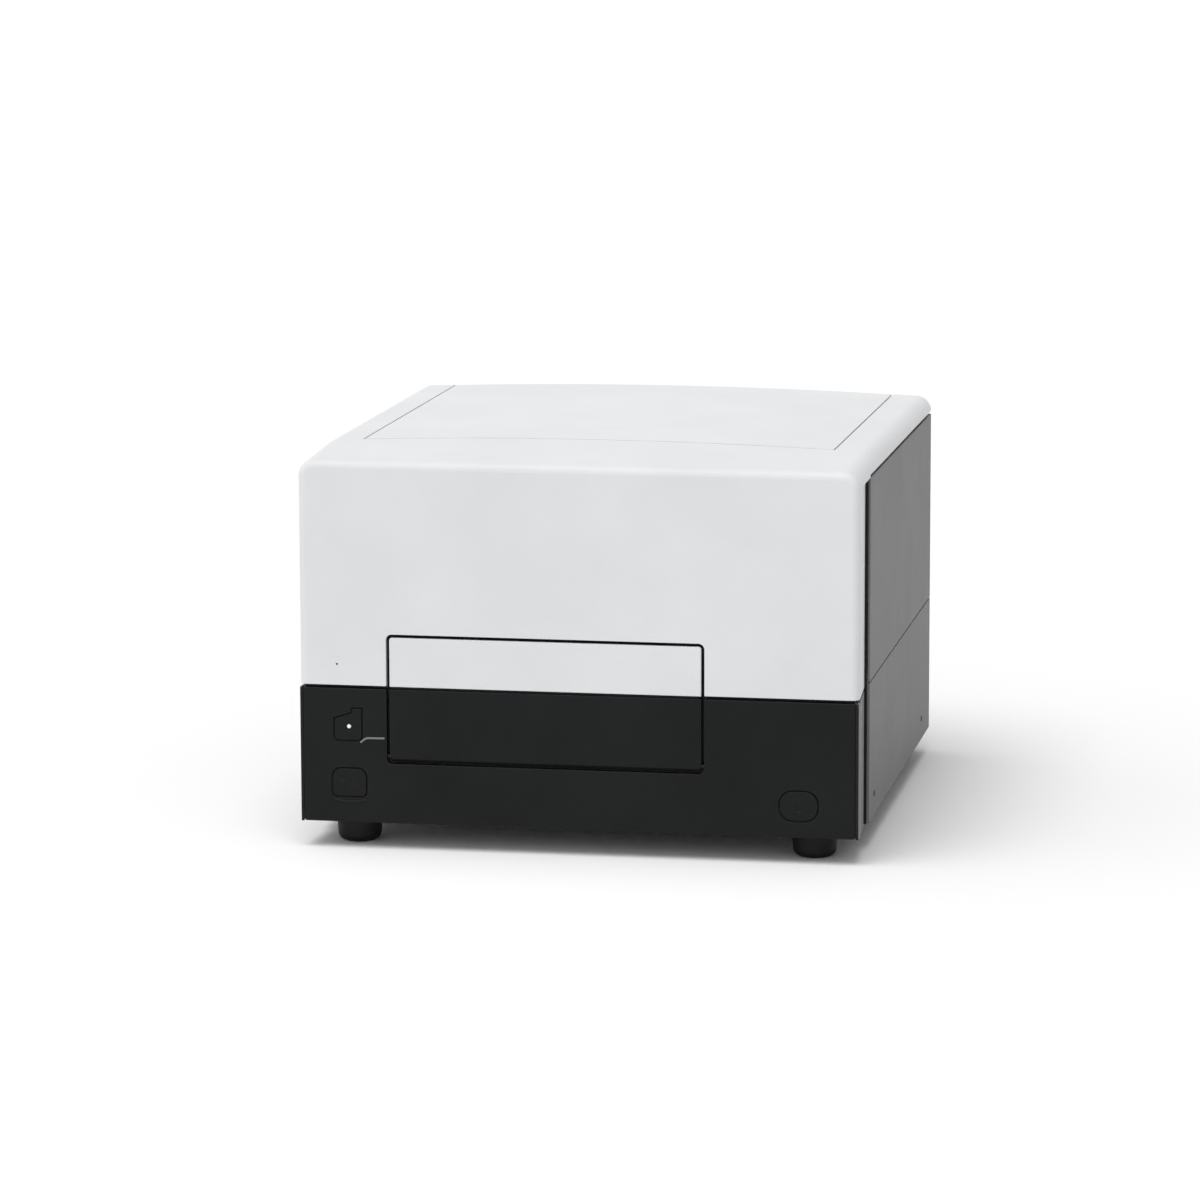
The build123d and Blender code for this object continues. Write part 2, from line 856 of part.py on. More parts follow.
with BuildPart() as foot_screws:
    for name, x, y in foot_places:
        with BuildSketch(level(foot_recess_depth - foot_head_height)):
            with Locations((x, y)):
                Circle(foot_head_radius)
                RegularPolygon(1.7, 6, mode=Mode.SUBTRACT)
        extrude(amount=foot_head_height)
        with BuildSketch(level(foot_recess_depth)):
            with Locations((x, y)):
                Circle(foot_screw_radius)
        extrude(amount=foot_height - foot_recess_depth + 10)
        with BuildSketch(level(frame_floor + slack if y < 0 else tray_low + sheet + slack)):
            with Locations((x, y)):
                RegularPolygon(4.6, 6)
        extrude(amount=4)
foot_screws.part.label = "foot_screws"
export_step(foot_screws.part, "parts/foot_screws.step")

# ---------------------------------------------------------------- transport deck
deck_top = deck_height
deck_low = deck_top - deck_thickness
tray_floor = tray_low + sheet
deck_front = front_y + 20.0
deck_rear = rear_y - 55.0
leg_front = flank_y + 16.0
deck_half_width = side_x - deck_side_gap

with BuildPart() as transport_deck:
    with BuildSketch(facing(leg_front)):
        with BuildLine():
            Polyline(
                (0, deck_top),
                (deck_half_width, deck_top),
                (deck_half_width, tray_floor + deck_thickness),
                (deck_half_width + deck_foot, tray_floor + deck_thickness),
                (deck_half_width + deck_foot, tray_floor),
                (deck_half_width - deck_thickness, tray_floor),
                (deck_half_width - deck_thickness, deck_low),
                (0, deck_low),
                (0, deck_top),
            )
        make_face()
        mirror(about=Plane.YZ)
    extrude(amount=-(deck_rear - leg_front))
    with BuildSketch(level(deck_low)):
        with Locations((0, (deck_front + leg_front) / 2)):
            Rectangle(2 * deck_half_width, leg_front - deck_front)
        with Locations((-deck_half_width, deck_front), (deck_half_width, deck_front)):
            Rectangle(96, 2 * 14, mode=Mode.SUBTRACT)
    extrude(amount=deck_thickness)
    with BuildSketch(level(deck_low - 1)):
        with Locations((door_centre_x, 30)):
            with GridLocations(120, 150, 2, 2):
                RectangleRounded(70, 60, 8)
    extrude(amount=deck_thickness + 2, mode=Mode.SUBTRACT)
transport_deck.part.label = "transport_deck"
export_step(transport_deck.part, "parts/transport_deck.step")

# ---------------------------------------------------------------- stage on its guide rods
stage_front_limit = frame_back + sleeve_depth + stage_margin
drive_y = rear_y - rear_bay - motor_size / 2
rod_rear = drive_y - motor_size / 2 - motor_gap
stage_rear = rod_rear - rod_block_depth - stage_margin
stage_front = stage_rear - stage_length
plate_travel = stage_front - stage_front_limit
stage_low = rod_height + rod_radius + bush_wall + 2.0
stage_top = stage_low + stage_thickness
cross_z = stage_top + cross_rod_lift
rear_bush_y = stage_rear - bush_length - 1
front_bush_y = rear_bush_y - bush_length - 8
rod_front = front_bush_y - plate_travel - stage_margin - rod_block_depth
rod_xs = (door_centre_x - rod_half_spacing, door_centre_x + rod_half_spacing)

with BuildPart() as guide_rods:
    with BuildSketch(facing(rod_front)):
        with Locations(*[(x, rod_height) for x in rod_xs]):
            Circle(rod_radius)
    extrude(amount=-(rod_rear - rod_front))
guide_rods.part.label = "guide_rods"
export_step(guide_rods.part, "parts/guide_rods.step")

with BuildPart() as rod_blocks:
    for y in (rod_front, rod_rear - rod_block_depth):
        with BuildSketch(facing(y)):
            for x in rod_xs:
                with BuildLine():
                    Line((x - rod_block_width / 2, deck_top), (x + rod_block_width / 2, deck_top))
                    Line(
                        (x + rod_block_width / 2, deck_top),
                        (x + rod_radius + bush_wall, rod_height),
                    )
                    CenterArc((x, rod_height), rod_radius + bush_wall, 0, 180)
                    Line(
                        (x - rod_radius - bush_wall, rod_height),
                        (x - rod_block_width / 2, deck_top),
                    )
                make_face()
            with Locations(*[(x, rod_height) for x in rod_xs]):
                Circle(rod_radius + bore_slack, mode=Mode.SUBTRACT)
        extrude(amount=-rod_block_depth)
rod_blocks.part.label = "rod_blocks"
export_step(rod_blocks.part, "parts/rod_blocks.step")

with BuildPart() as linear_bushes:
    for y in (front_bush_y, rear_bush_y):
        with BuildSketch(facing(y)):
            with Locations(*[(x, rod_height) for x in rod_xs]):
                Circle(rod_radius + bush_thickness)
                Circle(rod_radius + run_slack, mode=Mode.SUBTRACT)
        extrude(amount=-bush_length)
linear_bushes.part.label = "linear_bushes"
export_step(linear_bushes.part, "parts/linear_bushes.step")

cross_front_y = stage_front + cross_rod_offset
cross_rear_y = stage_front + 3 * cross_rod_offset
screw_y = (cross_front_y + cross_rear_y) / 2
carrier_width = plate_length + 2 * (plate_slack + carrier_wall)
cheek_half_spacing = carrier_width / 2 + scan_travel + cheek_slack
cheek_xs = (
    door_centre_x - cheek_half_spacing - cheek_thickness,
    door_centre_x + cheek_half_spacing,
)

with BuildPart() as transport_stage:
    with BuildSketch(level(stage_low)):
        with Locations((door_centre_x, (stage_front + stage_rear) / 2)):
            Rectangle(2 * (rod_half_spacing + stage_overhang), stage_length)
            with Locations((0, stage_length / 6)):
                with GridLocations(62, 1, 3, 1):
                    RectangleRounded(44, 30, 5, mode=Mode.SUBTRACT)
    extrude(amount=stage_thickness)
    # cheeks that carry the cross rods
    for x in cheek_xs:
        with BuildSketch(flank(x)):
            with BuildLine():
                Polyline(
                    (stage_front, stage_top),
                    (stage_front, cross_z + cross_rod_radius + 3),
                    (stage_front + 4 * cross_rod_offset, cross_z + cross_rod_radius + 3),
                    (stage_rear - 6, stage_top),
                    (stage_front, stage_top),
                )
            make_face()
        extrude(amount=cheek_thickness)
    with BuildSketch(flank(cheek_xs[0] - 1)):
        with Locations((cross_front_y, cross_z), (cross_rear_y, cross_z)):
            Circle(cross_rod_radius + bore_slack)
        with Locations((screw_y, cross_z)):
            Circle(screw_radius + run_slack)
    extrude(amount=2 * cheek_half_spacing + 3 * cheek_thickness, mode=Mode.SUBTRACT)
    # saddles round the bushes
    for y in (front_bush_y, rear_bush_y):
        with BuildSketch(facing(y)):
            for x in rod_xs:
                with Locations((x, (rod_height + stage_low) / 2)):
                    Rectangle(2 * (rod_radius + bush_wall), stage_low - rod_height)
                with Locations((x, rod_height)):
                    Circle(rod_radius + bush_wall)
            with Locations(*[(x, rod_height) for x in rod_xs]):
                Circle(rod_radius + bush_thickness, mode=Mode.SUBTRACT)
        extrude(amount=-bush_length)
transport_stage.part.label = "transport_stage"
export_step(transport_stage.part, "parts/transport_stage.step")

with BuildPart() as cross_rods:
    with BuildSketch(flank(cheek_xs[0])):
        with Locations((cross_front_y, cross_z), (cross_rear_y, cross_z)):
            Circle(cross_rod_radius)
    extrude(amount=2 * cheek_half_spacing + 2 * cheek_thickness)
cross_rods.part.label = "cross_rods"
export_step(cross_rods.part, "parts/cross_rods.step")

# ---------------------------------------------------------------- scan screw and its motor
screw_end = cheek_xs[1] + cheek_thickness
groove_pitch = screw_lead / screw_starts
groove_count = int(2 * cheek_half_spacing / groove_pitch) - 1
with BuildPart() as scan_screw:
    with BuildSketch(flank(cheek_xs[0] + 1)):
        with Locations((screw_y, cross_z)):
            Circle(screw_radius)
    extrude(amount=screw_end - cheek_xs[0] - 2)
    for index in range(groove_count):
        with BuildSketch(flank(cheek_xs[0] + cheek_thickness + (index + 1) * groove_pitch)):
            with Locations((screw_y, cross_z)):
                Circle(screw_radius + screw_thread_depth)
                Circle(screw_radius - screw_thread_depth, mode=Mode.SUBTRACT)
        extrude(amount=screw_groove, mode=Mode.SUBTRACT)
scan_screw.part.label = "scan_screw"
export_step(scan_screw.part, "parts/scan_screw.step")

with BuildPart() as scan_motor:
    with BuildSketch(flank(screw_end)) as motor_face:
        with Locations((screw_y, cross_z)):
            Rectangle(scan_motor_size, scan_motor_size)
        chamfer(motor_face.vertices(), 3)
    extrude(amount=scan_motor_length)
scan_motor.part.label = "scan_motor"
export_step(scan_motor.part, "parts/scan_motor.step")

# ---------------------------------------------------------------- plate carrier
carrier_front = stage_front - carrier_reach
carrier_low = cross_z - carrier_thickness / 2
carrier_top = carrier_low + carrier_thickness
seat_y = carrier_front + carrier_lip + plate_width / 2 + plate_slack
block_low = stage_top + 1.0
block_high = cross_z + cross_rod_radius + 2.5
block_y0 = stage_front + 2.0
lever_x = door_centre_x + 34.0
lever_y = seat_y + plate_width / 2 + plate_slack + 9.0
lever_base = carrier_top + slack

with BuildPart() as plate_carrier:
    with BuildSketch(level(carrier_low)) as carrier_plan:
        with Locations((door_centre_x, (carrier_front + block_y0 + block_depth) / 2)):
            Rectangle(carrier_width, block_y0 + block_depth - carrier_front)
        fillet(carrier_plan.vertices().group_by(Axis.Y)[0], 6)
    extrude(amount=carrier_thickness)
    with BuildSketch(level(block_low)):
        with Locations((door_centre_x, block_y0 + block_depth / 2)):
            Rectangle(carrier_width, block_depth)
    extrude(amount=block_high - block_low)
    with BuildSketch(level(carrier_top - seat_depth)):
        with Locations((door_centre_x, seat_y)):
            Rectangle(plate_length + 2 * plate_slack, plate_width + 2 * plate_slack)
    extrude(amount=seat_depth + 1, mode=Mode.SUBTRACT)
    with BuildSketch(level(carrier_low - 1)):
        with Locations((door_centre_x, seat_y)):
            RectangleRounded(plate_length - 2 * seat_ledge, plate_width - 2 * seat_ledge, 4)
    extrude(amount=carrier_thickness + 2, mode=Mode.SUBTRACT)
    # finger cut-outs in both long walls
    with BuildSketch(level(carrier_top - seat_depth)):
        with Locations((door_centre_x, carrier_front)):
            RectangleRounded(44, 2 * (carrier_lip + 3), 4)
    extrude(amount=seat_depth + 1, mode=Mode.SUBTRACT)
    with BuildSketch(flank(door_centre_x - carrier_width / 2 - 1)):
        with Locations((cross_front_y, cross_z), (cross_rear_y, cross_z)):
            Circle(cross_rod_radius + run_slack)
        with Locations((screw_y, cross_z)):
            Circle(screw_radius + slack)
    extrude(amount=carrier_width + 2, mode=Mode.SUBTRACT)
    with BuildSketch(level(carrier_low + 1)):
        with Locations((lever_x, lever_y)):
            Circle(lever_pin_radius + bore_slack)
    extrude(amount=carrier_thickness, mode=Mode.SUBTRACT)
plate_carrier.part.label = "plate_carrier"
export_step(plate_carrier.part, "parts/plate_carrier.step")

with BuildPart() as lever_pin:
    with BuildSketch(level(carrier_low + 1)):
        with Locations((lever_x, lever_y)):
            Circle(lever_pin_radius)
    extrude(amount=carrier_thickness + lever_thickness)
    with BuildSketch(level(lever_base + lever_thickness + slack)):
        with Locations((lever_x, lever_y)):
            Circle(lever_pin_radius + 1.5)
    extrude(amount=1.2)
lever_pin.part.label = "lever_pin"
export_step(lever_pin.part, "parts/lever_pin.step")

with BuildPart() as clamp_lever:
    with BuildSketch(level(lever_base)):
        with Locations((lever_x - lever_length / 2, lever_y)):
            SlotCenterToCenter(lever_length, lever_width)
        with Locations((lever_x, lever_y)):
            Circle(lever_width / 2 + 1.5)
            Circle(lever_pin_radius + run_slack, mode=Mode.SUBTRACT)
    extrude(amount=lever_thickness)
    with BuildSketch(level(lever_base + lever_thickness)):
        with Locations((lever_x - lever_length, lever_y)):
            Circle(lever_width / 2)
    extrude(amount=3)
clamp_lever.part.label = "clamp_lever"
export_step(clamp_lever.part, "parts/clamp_lever.step")

# ---------------------------------------------------------------- belt drive of the slide
belt_x = door_centre_x + belt_offset
idler_y = front_y + idler_setback
belt_inner = pulley_radius + slack
motor_x = belt_x + pulley_width / 2 + 4.0

with BuildPart() as drive_motor:
    with BuildSketch(flank(motor_x)) as motor_face:
        with Locations((drive_y, rod_height)):
            Rectangle(motor_size, motor_size)
        chamfer(motor_face.vertices(), 5)
    extrude(amount=motor_length)
    with BuildSketch(flank(motor_x - 2)):
        with Locations((drive_y, rod_height)):
            Circle(11)
            Circle(motor_shaft_radius + slack, mode=Mode.SUBTRACT)
    extrude(amount=2)
    with BuildSketch(flank(motor_x)):
        with Locations((drive_y, rod_height)):
            Circle(motor_shaft_radius + slack)
    extrude(amount=20, mode=Mode.SUBTRACT)
drive_motor.part.label = "drive_motor"
export_step(drive_motor.part, "parts/drive_motor.step")

with BuildPart() as belt_brackets:
    # angle under the motor, bored for its nose
    with BuildSketch(facing(drive_y - motor_size / 2 - 3)):
        Polygon(
            (motor_x - 4, deck_top),
            (motor_x - 4, rod_height + 10),
            (motor_x - 2, rod_height + 10),
            (motor_x - 2, deck_top + 2),
            (motor_x + motor_length, deck_top + 2),
            (motor_x + motor_length, deck_top),
            align=None,
        )
    extrude(amount=-(motor_size + 6))
    with BuildSketch(flank(motor_x - 5)):
        with Locations((drive_y, rod_height)):
            Circle(12)
    extrude(amount=4, mode=Mode.SUBTRACT)
    # fork that holds the idler on its pin
    with BuildSketch(facing(idler_y - 10)):
        Polygon(
            (belt_x - 11, deck_top),
            (belt_x - 11, rod_height + 5),
            (belt_x - 8.5, rod_height + 5),
            (belt_x - 8.5, deck_top + 2.5),
            (belt_x + 8.5, deck_top + 2.5),
            (belt_x + 8.5, rod_height + 5),
            (belt_x + 11, rod_height + 5),
            (belt_x + 11, deck_top),
            align=None,
        )
    extrude(amount=-20)
    with BuildSketch(flank(belt_x - 12)):
        with Locations((idler_y, rod_height)):
            Circle(2.0)
    extrude(amount=24)
belt_brackets.part.label = "belt_brackets"
export_step(belt_brackets.part, "parts/belt_brackets.step")


def pulley_face():
    """Toothed face with the tooth gaps cut round the rim."""
    with BuildSketch() as face:
        Circle(pulley_radius)
        with PolarLocations(pulley_radius, pulley_teeth):
            Circle(0.7, mode=Mode.SUBTRACT)
    return face.sketch


toothed_face = pulley_face()
for name, y, bore, reach in (
    ("drive_pulley", drive_y, 0.0, 18.0),
    ("idler_pulley", idler_y, 2.0, 0.0),
):
    with BuildPart() as pulley:
        with BuildSketch(Plane(origin=(belt_x - pulley_width / 2, y, rod_height), z_dir=(1, 0, 0))):
            add(toothed_face)
        extrude(amount=pulley_width)
        for x in (belt_x - pulley_width / 2 - 1, belt_x + pulley_width / 2):
            with BuildSketch(flank(x)):
                with Locations((y, rod_height)):
                    Circle(pulley_radius + 1.8)
            extrude(amount=1)
        if bore:
            with BuildSketch(flank(belt_x - pulley_width)):
                with Locations((y, rod_height)):
                    Circle(bore + run_slack)
            extrude(amount=2 * pulley_width, mode=Mode.SUBTRACT)
        else:
            with BuildSketch(flank(belt_x)):
                with Locations((y, rod_height)):
                    Circle(motor_shaft_radius)
            extrude(amount=motor_x - belt_x + reach)
    pulley.part.label = name
    export_step(pulley.part, f"parts/{name}.step")

with BuildPart() as drive_belt:
    with BuildSketch(flank(belt_x - belt_width / 2)):
        with Locations(((drive_y + idler_y) / 2, rod_height)):
            SlotCenterToCenter(drive_y - idler_y, 2 * (belt_inner + belt_thickness))
            SlotCenterToCenter(drive_y - idler_y, 2 * belt_inner, mode=Mode.SUBTRACT)
    extrude(amount=belt_width)
drive_belt.part.label = "drive_belt"
export_step(drive_belt.part, "parts/drive_belt.step")

belt_top = rod_height + belt_inner + belt_thickness
with BuildPart() as belt_clamp:
    with BuildSketch(facing(stage_rear - 22)):
        Polygon(
            (belt_x - belt_width / 2 - 4, stage_low),
            (belt_x - belt_width / 2 - 4, belt_top - belt_thickness - 2.5),
            (belt_x + belt_width / 2 + 4, belt_top - belt_thickness - 2.5),
            (belt_x + belt_width / 2 + 4, stage_low),
            align=None,
        )
        with Locations((belt_x, belt_top - belt_thickness / 2)):
            Rectangle(belt_width + 2 * slack, belt_thickness + 2 * slack, mode=Mode.SUBTRACT)
    extrude(amount=-16)
belt_clamp.part.label = "belt_clamp"
export_step(belt_clamp.part, "parts/belt_clamp.step")

# ---------------------------------------------------------------- optics bridge
panel_front_y = rear_y - rear_recess - sheet
main_board_y = panel_front_y - board_setback
bridge_half_width = side_x - bridge_side_gap
bridge_front = seat_y - bridge_lead
bridge_rear = main_board_y - bridge_board_gap
bridge_length = bridge_rear - bridge_front
post_x = bridge_half_width - post_edge
post_places = (
    (-post_x, bridge_front + post_setback),
    (post_x, bridge_front + post_setback),
    (-post_x, bridge_rear - post_setback),
    (post_x, bridge_rear - post_setback),
)
bridge_top = bridge_height + bridge_thickness

with BuildPart() as optics_bridge:
    with BuildSketch(level(bridge_height)) as bridge_plan:
        with Locations((0, (bridge_front + bridge_rear) / 2)):
            Rectangle(2 * bridge_half_width, bridge_length)
        fillet(bridge_plan.vertices(), 10)
        with Locations((door_centre_x, seat_y)):
            Circle(head_nose_radius + 0.5, mode=Mode.SUBTRACT)
    extrude(amount=bridge_thickness)
optics_bridge.part.label = "optics_bridge"
export_step(optics_bridge.part, "parts/optics_bridge.step")

with BuildPart() as bridge_posts:
    with BuildSketch(level(deck_top)):
        with Locations(*post_places):
            Circle(post_radius)
    extrude(amount=bridge_height - deck_top)
bridge_posts.part.label = "bridge_posts"
export_step(bridge_posts.part, "parts/bridge_posts.step")

# monochromators: cast boxes with a ribbed cover and a grating drum boss
mono_offset = head_width / 2 + mono_gap + mono_size[0] / 2
mono_places = (
    ("excitation_monochromator", door_centre_x - mono_offset),
    ("emission_monochromator", door_centre_x + mono_offset),
)
mono_y = seat_y + 10.0
for name, x in mono_places:
    with BuildPart() as mono:
        with BuildSketch(level(bridge_top)) as mono_plan:
            with Locations((x, mono_y)):
                Rectangle(mono_size[0], mono_size[1])
            fillet(mono_plan.vertices(), 8)
        extrude(amount=mono_size[2])
        with BuildSketch(level(bridge_top + mono_size[2])):
            with Locations((x, mono_y)):
                Circle(grating_radius)
        extrude(amount=grating_height)
        with BuildSketch(level(bridge_top + mono_size[2] + grating_height)):
            with Locations((x, mono_y)):
                RegularPolygon(grating_radius / 2, 6)
        extrude(amount=grating_height / 2)
    mono.part.label = name
    export_step(mono.part, f"parts/{name}.step")

head_low = bridge_height - nose_drop
with BuildPart() as upper_read_head:
    with BuildSketch(level(head_low)):
        with Locations((door_centre_x, seat_y)):
            Circle(head_nose_radius)
            Circle(light_path_radius, mode=Mode.SUBTRACT)
    extrude(amount=bridge_thickness + nose_drop)
    with BuildSketch(level(bridge_top)):
        with Locations((door_centre_x, seat_y)):
            Rectangle(head_width, head_depth)
    extrude(amount=head_height)
upper_read_head.part.label = "upper_read_head"
export_step(upper_read_head.part, "parts/upper_read_head.step")

with BuildPart() as lower_read_head:
    with BuildSketch(level(deck_top)):
        with Locations((door_centre_x, seat_y)):
            RectangleRounded(1.5 * head_width, head_depth, 6)
    extrude(amount=18)
    with BuildSketch(level(deck_top + 18)):
        with Locations((door_centre_x, seat_y)):
            Circle(12)
            Circle(6, mode=Mode.SUBTRACT)
    extrude(amount=10)
lower_read_head.part.label = "lower_read_head"
export_step(lower_read_head.part, "parts/lower_read_head.step")

lamp_y = bridge_rear - lamp_setback
with BuildPart() as flash_lamp:
    with BuildSketch(level(bridge_top)):
        with Locations((door_centre_x - mono_offset, lamp_y)):
            RectangleRounded(lamp_size[0], lamp_size[1], 4)
    extrude(amount=lamp_size[2])
    with BuildSketch(level(bridge_top + lamp_size[2])):
        with Locations((door_centre_x - mono_offset, lamp_y)):
            with GridLocations(lamp_fin_pitch, 1, 7, 1):
                Rectangle(lamp_fin[0], lamp_fin[1])
    extrude(amount=lamp_fin[2])
flash_lamp.part.label = "flash_lamp"
export_step(flash_lamp.part, "parts/flash_lamp.step")

with BuildPart() as photomultiplier:
    with BuildSketch(level(bridge_top)):
        with Locations((door_centre_x + mono_offset, lamp_y)):
            RectangleRounded(tube_base[0], tube_base[1], 4)
    extrude(amount=tube_base[2])
    with BuildSketch(level(bridge_top + tube_base[2])):
        with Locations((door_centre_x + mono_offset, lamp_y)):
            Circle(tube_radius)
    extrude(amount=tube_height)
photomultiplier.part.label = "photomultiplier"
export_step(photomultiplier.part, "parts/photomultiplier.step")

# ---------------------------------------------------------------- power supply and main board
supply_place = (-side_x + supply_inset, rear_y - supply_setback)
with BuildPart() as power_supply:
    with BuildSketch(level(tray_floor)):
        with Locations(supply_place):
            Rectangle(supply_size[0], supply_size[1])
    extrude(amount=supply_size[2])
    with BuildSketch(level(tray_floor + supply_size[2])):
        with Locations(supply_place):
            with GridLocations(supply_size[0] / 5, 10, 4, 16):
                RectangleRounded(14, 4, 1.9)
    extrude(amount=-1.2, mode=Mode.SUBTRACT)
power_supply.part.label = "power_supply"
export_step(power_supply.part, "parts/power_supply.step")

fan_x = side_x - fan_inset
board_x = fan_x - fan_size / 2 - board_fan_gap - board_size[0] / 2
board_z = board_low + board_size[1] / 2
with BuildPart() as main_board:
    with BuildSketch(facing(main_board_y)):
        with Locations((board_x, board_z)):
            Rectangle(board_size[0], board_size[1])
    extrude(amount=-board_thickness)
    # chips, then a row of capacitors
    with BuildSketch(facing(main_board_y)):
        with Locations((board_x - 27, board_z + 28)):
            Rectangle(34, 34)
        with Locations((board_x + 30, board_z + 28)):
            Rectangle(26, 26)
        with Locations((board_x + 20, board_z - 27)):
            with GridLocations(16, 14, 4, 2):
                Rectangle(10, 6)
    extrude(amount=3)
    with BuildSketch(facing(main_board_y)):
        with Locations((board_x - 35, board_z - 37)):
            with GridLocations(13, 1, 3, 1):
                Circle(5)
    extrude(amount=12)
main_board.part.label = "main_board"
export_step(main_board.part, "parts/main_board.step")

with BuildPart() as board_standoffs:
    with BuildSketch(facing(main_board_y + board_thickness)):
        with Locations((board_x, board_z)):
            with GridLocations(
                board_size[0] - 2 * board_post_inset, board_size[1] - 2 * board_post_inset, 2, 2
            ):
                RegularPolygon(3.2, 6)
    extrude(amount=-(board_setback - board_thickness))
board_standoffs.part.label = "board_standoffs"
export_step(board_standoffs.part, "parts/board_standoffs.step")

# ---------------------------------------------------------------- rear panel
rear_half = side_x - cover_wall - slack - sheet - slack
rear_low = tray_floor + slack
rear_top = rear_height - cover_wall - 2.0 - slack
rear_corner = roll_radius - cover_wall
inlet_x = side_x - inlet_inset
rocker_x = side_x - rocker_inset
port_x = side_x - port_inset
vent_x = -side_x + vent_inset
port_z = inlet_z
rocker_z = inlet_z
case_screws_rear = (
    (-rear_half + 8, rear_low + 8),
    (rear_half - 8, rear_low + 8),
    (-rear_half + 8, rear_top - 14),
    (rear_half - 8, rear_top - 14),
    (0, rear_low + 8),
    (0, rear_top - 8),
)

with BuildPart() as rear_panel:
    with BuildSketch(facing(panel_front_y)):
        with BuildLine():
            Line((-rear_half, rear_low), (-rear_half, rear_top - rear_corner))
            CenterArc((rear_corner - rear_half, rear_top - rear_corner), rear_corner, 180, -90)
            ThreePointArc(
                (rear_corner - rear_half, rear_top),
                (0, rear_top + crown),
                (rear_half - rear_corner, rear_top),
            )
            CenterArc((rear_half - rear_corner, rear_top - rear_corner), rear_corner, 90, -90)
            Line((rear_half, rear_top - rear_corner), (rear_half, rear_low))
            Line((rear_half, rear_low), (-rear_half, rear_low))
        make_face()
        with Locations((fan_x, fan_z)):
            Circle(fan_size / 2 - 2, mode=Mode.SUBTRACT)
            with GridLocations(fan_size - 8.5, fan_size - 8.5, 2, 2):
                Circle(2.2, mode=Mode.SUBTRACT)
        with Locations((inlet_x, inlet_z)):
            Rectangle(inlet_size[0] + 1.0, inlet_size[1] + 1.0, mode=Mode.SUBTRACT)
        with Locations((rocker_x, rocker_z)):
            Rectangle(rocker_size[0] + 4.4, rocker_size[1] + 4.4, mode=Mode.SUBTRACT)
        with Locations((port_x, port_z)):
            Rectangle(port_size[0] + 0.8, port_size[1] + 0.8, mode=Mode.SUBTRACT)
        with Locations((vent_x, fan_z)):
            with GridLocations(vent_length + 6, vent_pitch, 2, vent_count):
                SlotOverall(vent_length, vent_width, mode=Mode.SUBTRACT)
        with Locations(*case_screws_rear):
            Circle(case_screw_radius + screw_slack, mode=Mode.SUBTRACT)
    extrude(amount=-sheet)
rear_panel.part.label = "rear_panel"
export_step(rear_panel.part, "parts/rear_panel.step")

panel_rear_y = rear_y - rear_recess
with BuildPart() as case_screws:
    with BuildSketch(facing(panel_rear_y)):
        with Locations(*case_screws_rear):
            Circle(3.0)
            RegularPolygon(1.4, 6, mode=Mode.SUBTRACT)
    extrude(amount=-2.0)
    with BuildSketch(facing(panel_rear_y)):
        with Locations(*case_screws_rear):
            Circle(case_screw_radius)
    extrude(amount=8.0)
    for sign in (-1, 1):
        for y in (screw_row_y, flank_y + 30):
            with BuildSketch(flank(sign * (side_x - 0.3))):
                with Locations((y, screw_row_z)):
                    Circle(case_screw_radius)
            extrude(amount=-sign * 7.0)
case_screws.part.label = "case_screws"
export_step(case_screws.part, "parts/case_screws.step")

# ---------------------------------------------------------------- fan
fan_front = panel_front_y - fan_depth
fan_bore = fan_size / 2 - 2.5
with BuildPart() as fan_housing:
    with BuildSketch(facing(fan_front)):
        with Locations((fan_x, fan_z)):
            RectangleRounded(fan_size, fan_size, 4)
            Circle(fan_bore, mode=Mode.SUBTRACT)
            with GridLocations(fan_size - 8.5, fan_size - 8.5, 2, 2):
                Circle(2.2, mode=Mode.SUBTRACT)
    extrude(amount=-fan_depth)
    with BuildSketch(facing(fan_front)):
        with Locations((fan_x, fan_z)):
            Circle(fan_hub_radius)
            Rectangle(2 * fan_bore + 1, 3.5)
            Rectangle(3.5, 2 * fan_bore + 1)
    extrude(amount=-2.5)
    with BuildSketch(facing(fan_front + 2.5)):
        with Locations((fan_x, fan_z)):
            Circle(2.5)
    extrude(amount=-8)
fan_housing.part.label = "fan_housing"
export_step(fan_housing.part, "parts/fan_housing.step")

with BuildPart() as fan_rotor:
    with BuildSketch(facing(fan_front + 4)):
        with Locations((fan_x, fan_z)):
            Circle(fan_hub_radius)
    extrude(amount=-(fan_depth - 6))
    with BuildSketch(facing(fan_front + 4)):
        with Locations((fan_x, fan_z)):
            Circle(2.5 + run_slack)
    extrude(amount=-7, mode=Mode.SUBTRACT)
    blade_length = fan_bore - 1.0 - fan_hub_radius + 1.5
    fan_centre = Location((fan_x, fan_front + fan_depth / 2 + 1, fan_z))
    for index in range(fan_blade_count):
        turn = Location((0, 0, 0), (0, 360 * index / fan_blade_count, 0))
        root = Location((fan_hub_radius - 1.5, 0, 0), (0, 90, 0))
        blade_root = Plane(fan_centre * turn * root)
        with BuildSketch(blade_root):
            Rectangle(20, 1.6, rotation=38)
        extrude(amount=blade_length)
fan_rotor.part.label = "fan_rotor"
export_step(fan_rotor.part, "parts/fan_rotor.step")

with BuildPart() as fan_guard:
    guard_wire = 0.9
    guard_y = panel_rear_y + guard_wire
    for radius in (12.0, 20.0, 28.0, 36.0):
        with BuildSketch(Plane(origin=(fan_x, guard_y, fan_z), x_dir=(1, 0, 0), z_dir=(0, 0, 1))):
            with Locations((radius, 0)):
                Circle(guard_wire)
        revolve(axis=Axis((fan_x, guard_y, fan_z), (0, 1, 0)))
    for turn in (45, 135):
        with BuildSketch(facing(guard_y - 0.3)):
            with Locations((fan_x, fan_z)):
                SlotOverall(1.414 * (fan_size - 8.5) + 5, 1.8, rotation=turn)
        extrude(amount=-1.4)
fan_guard.part.label = "fan_guard"
export_step(fan_guard.part, "parts/fan_guard.step")

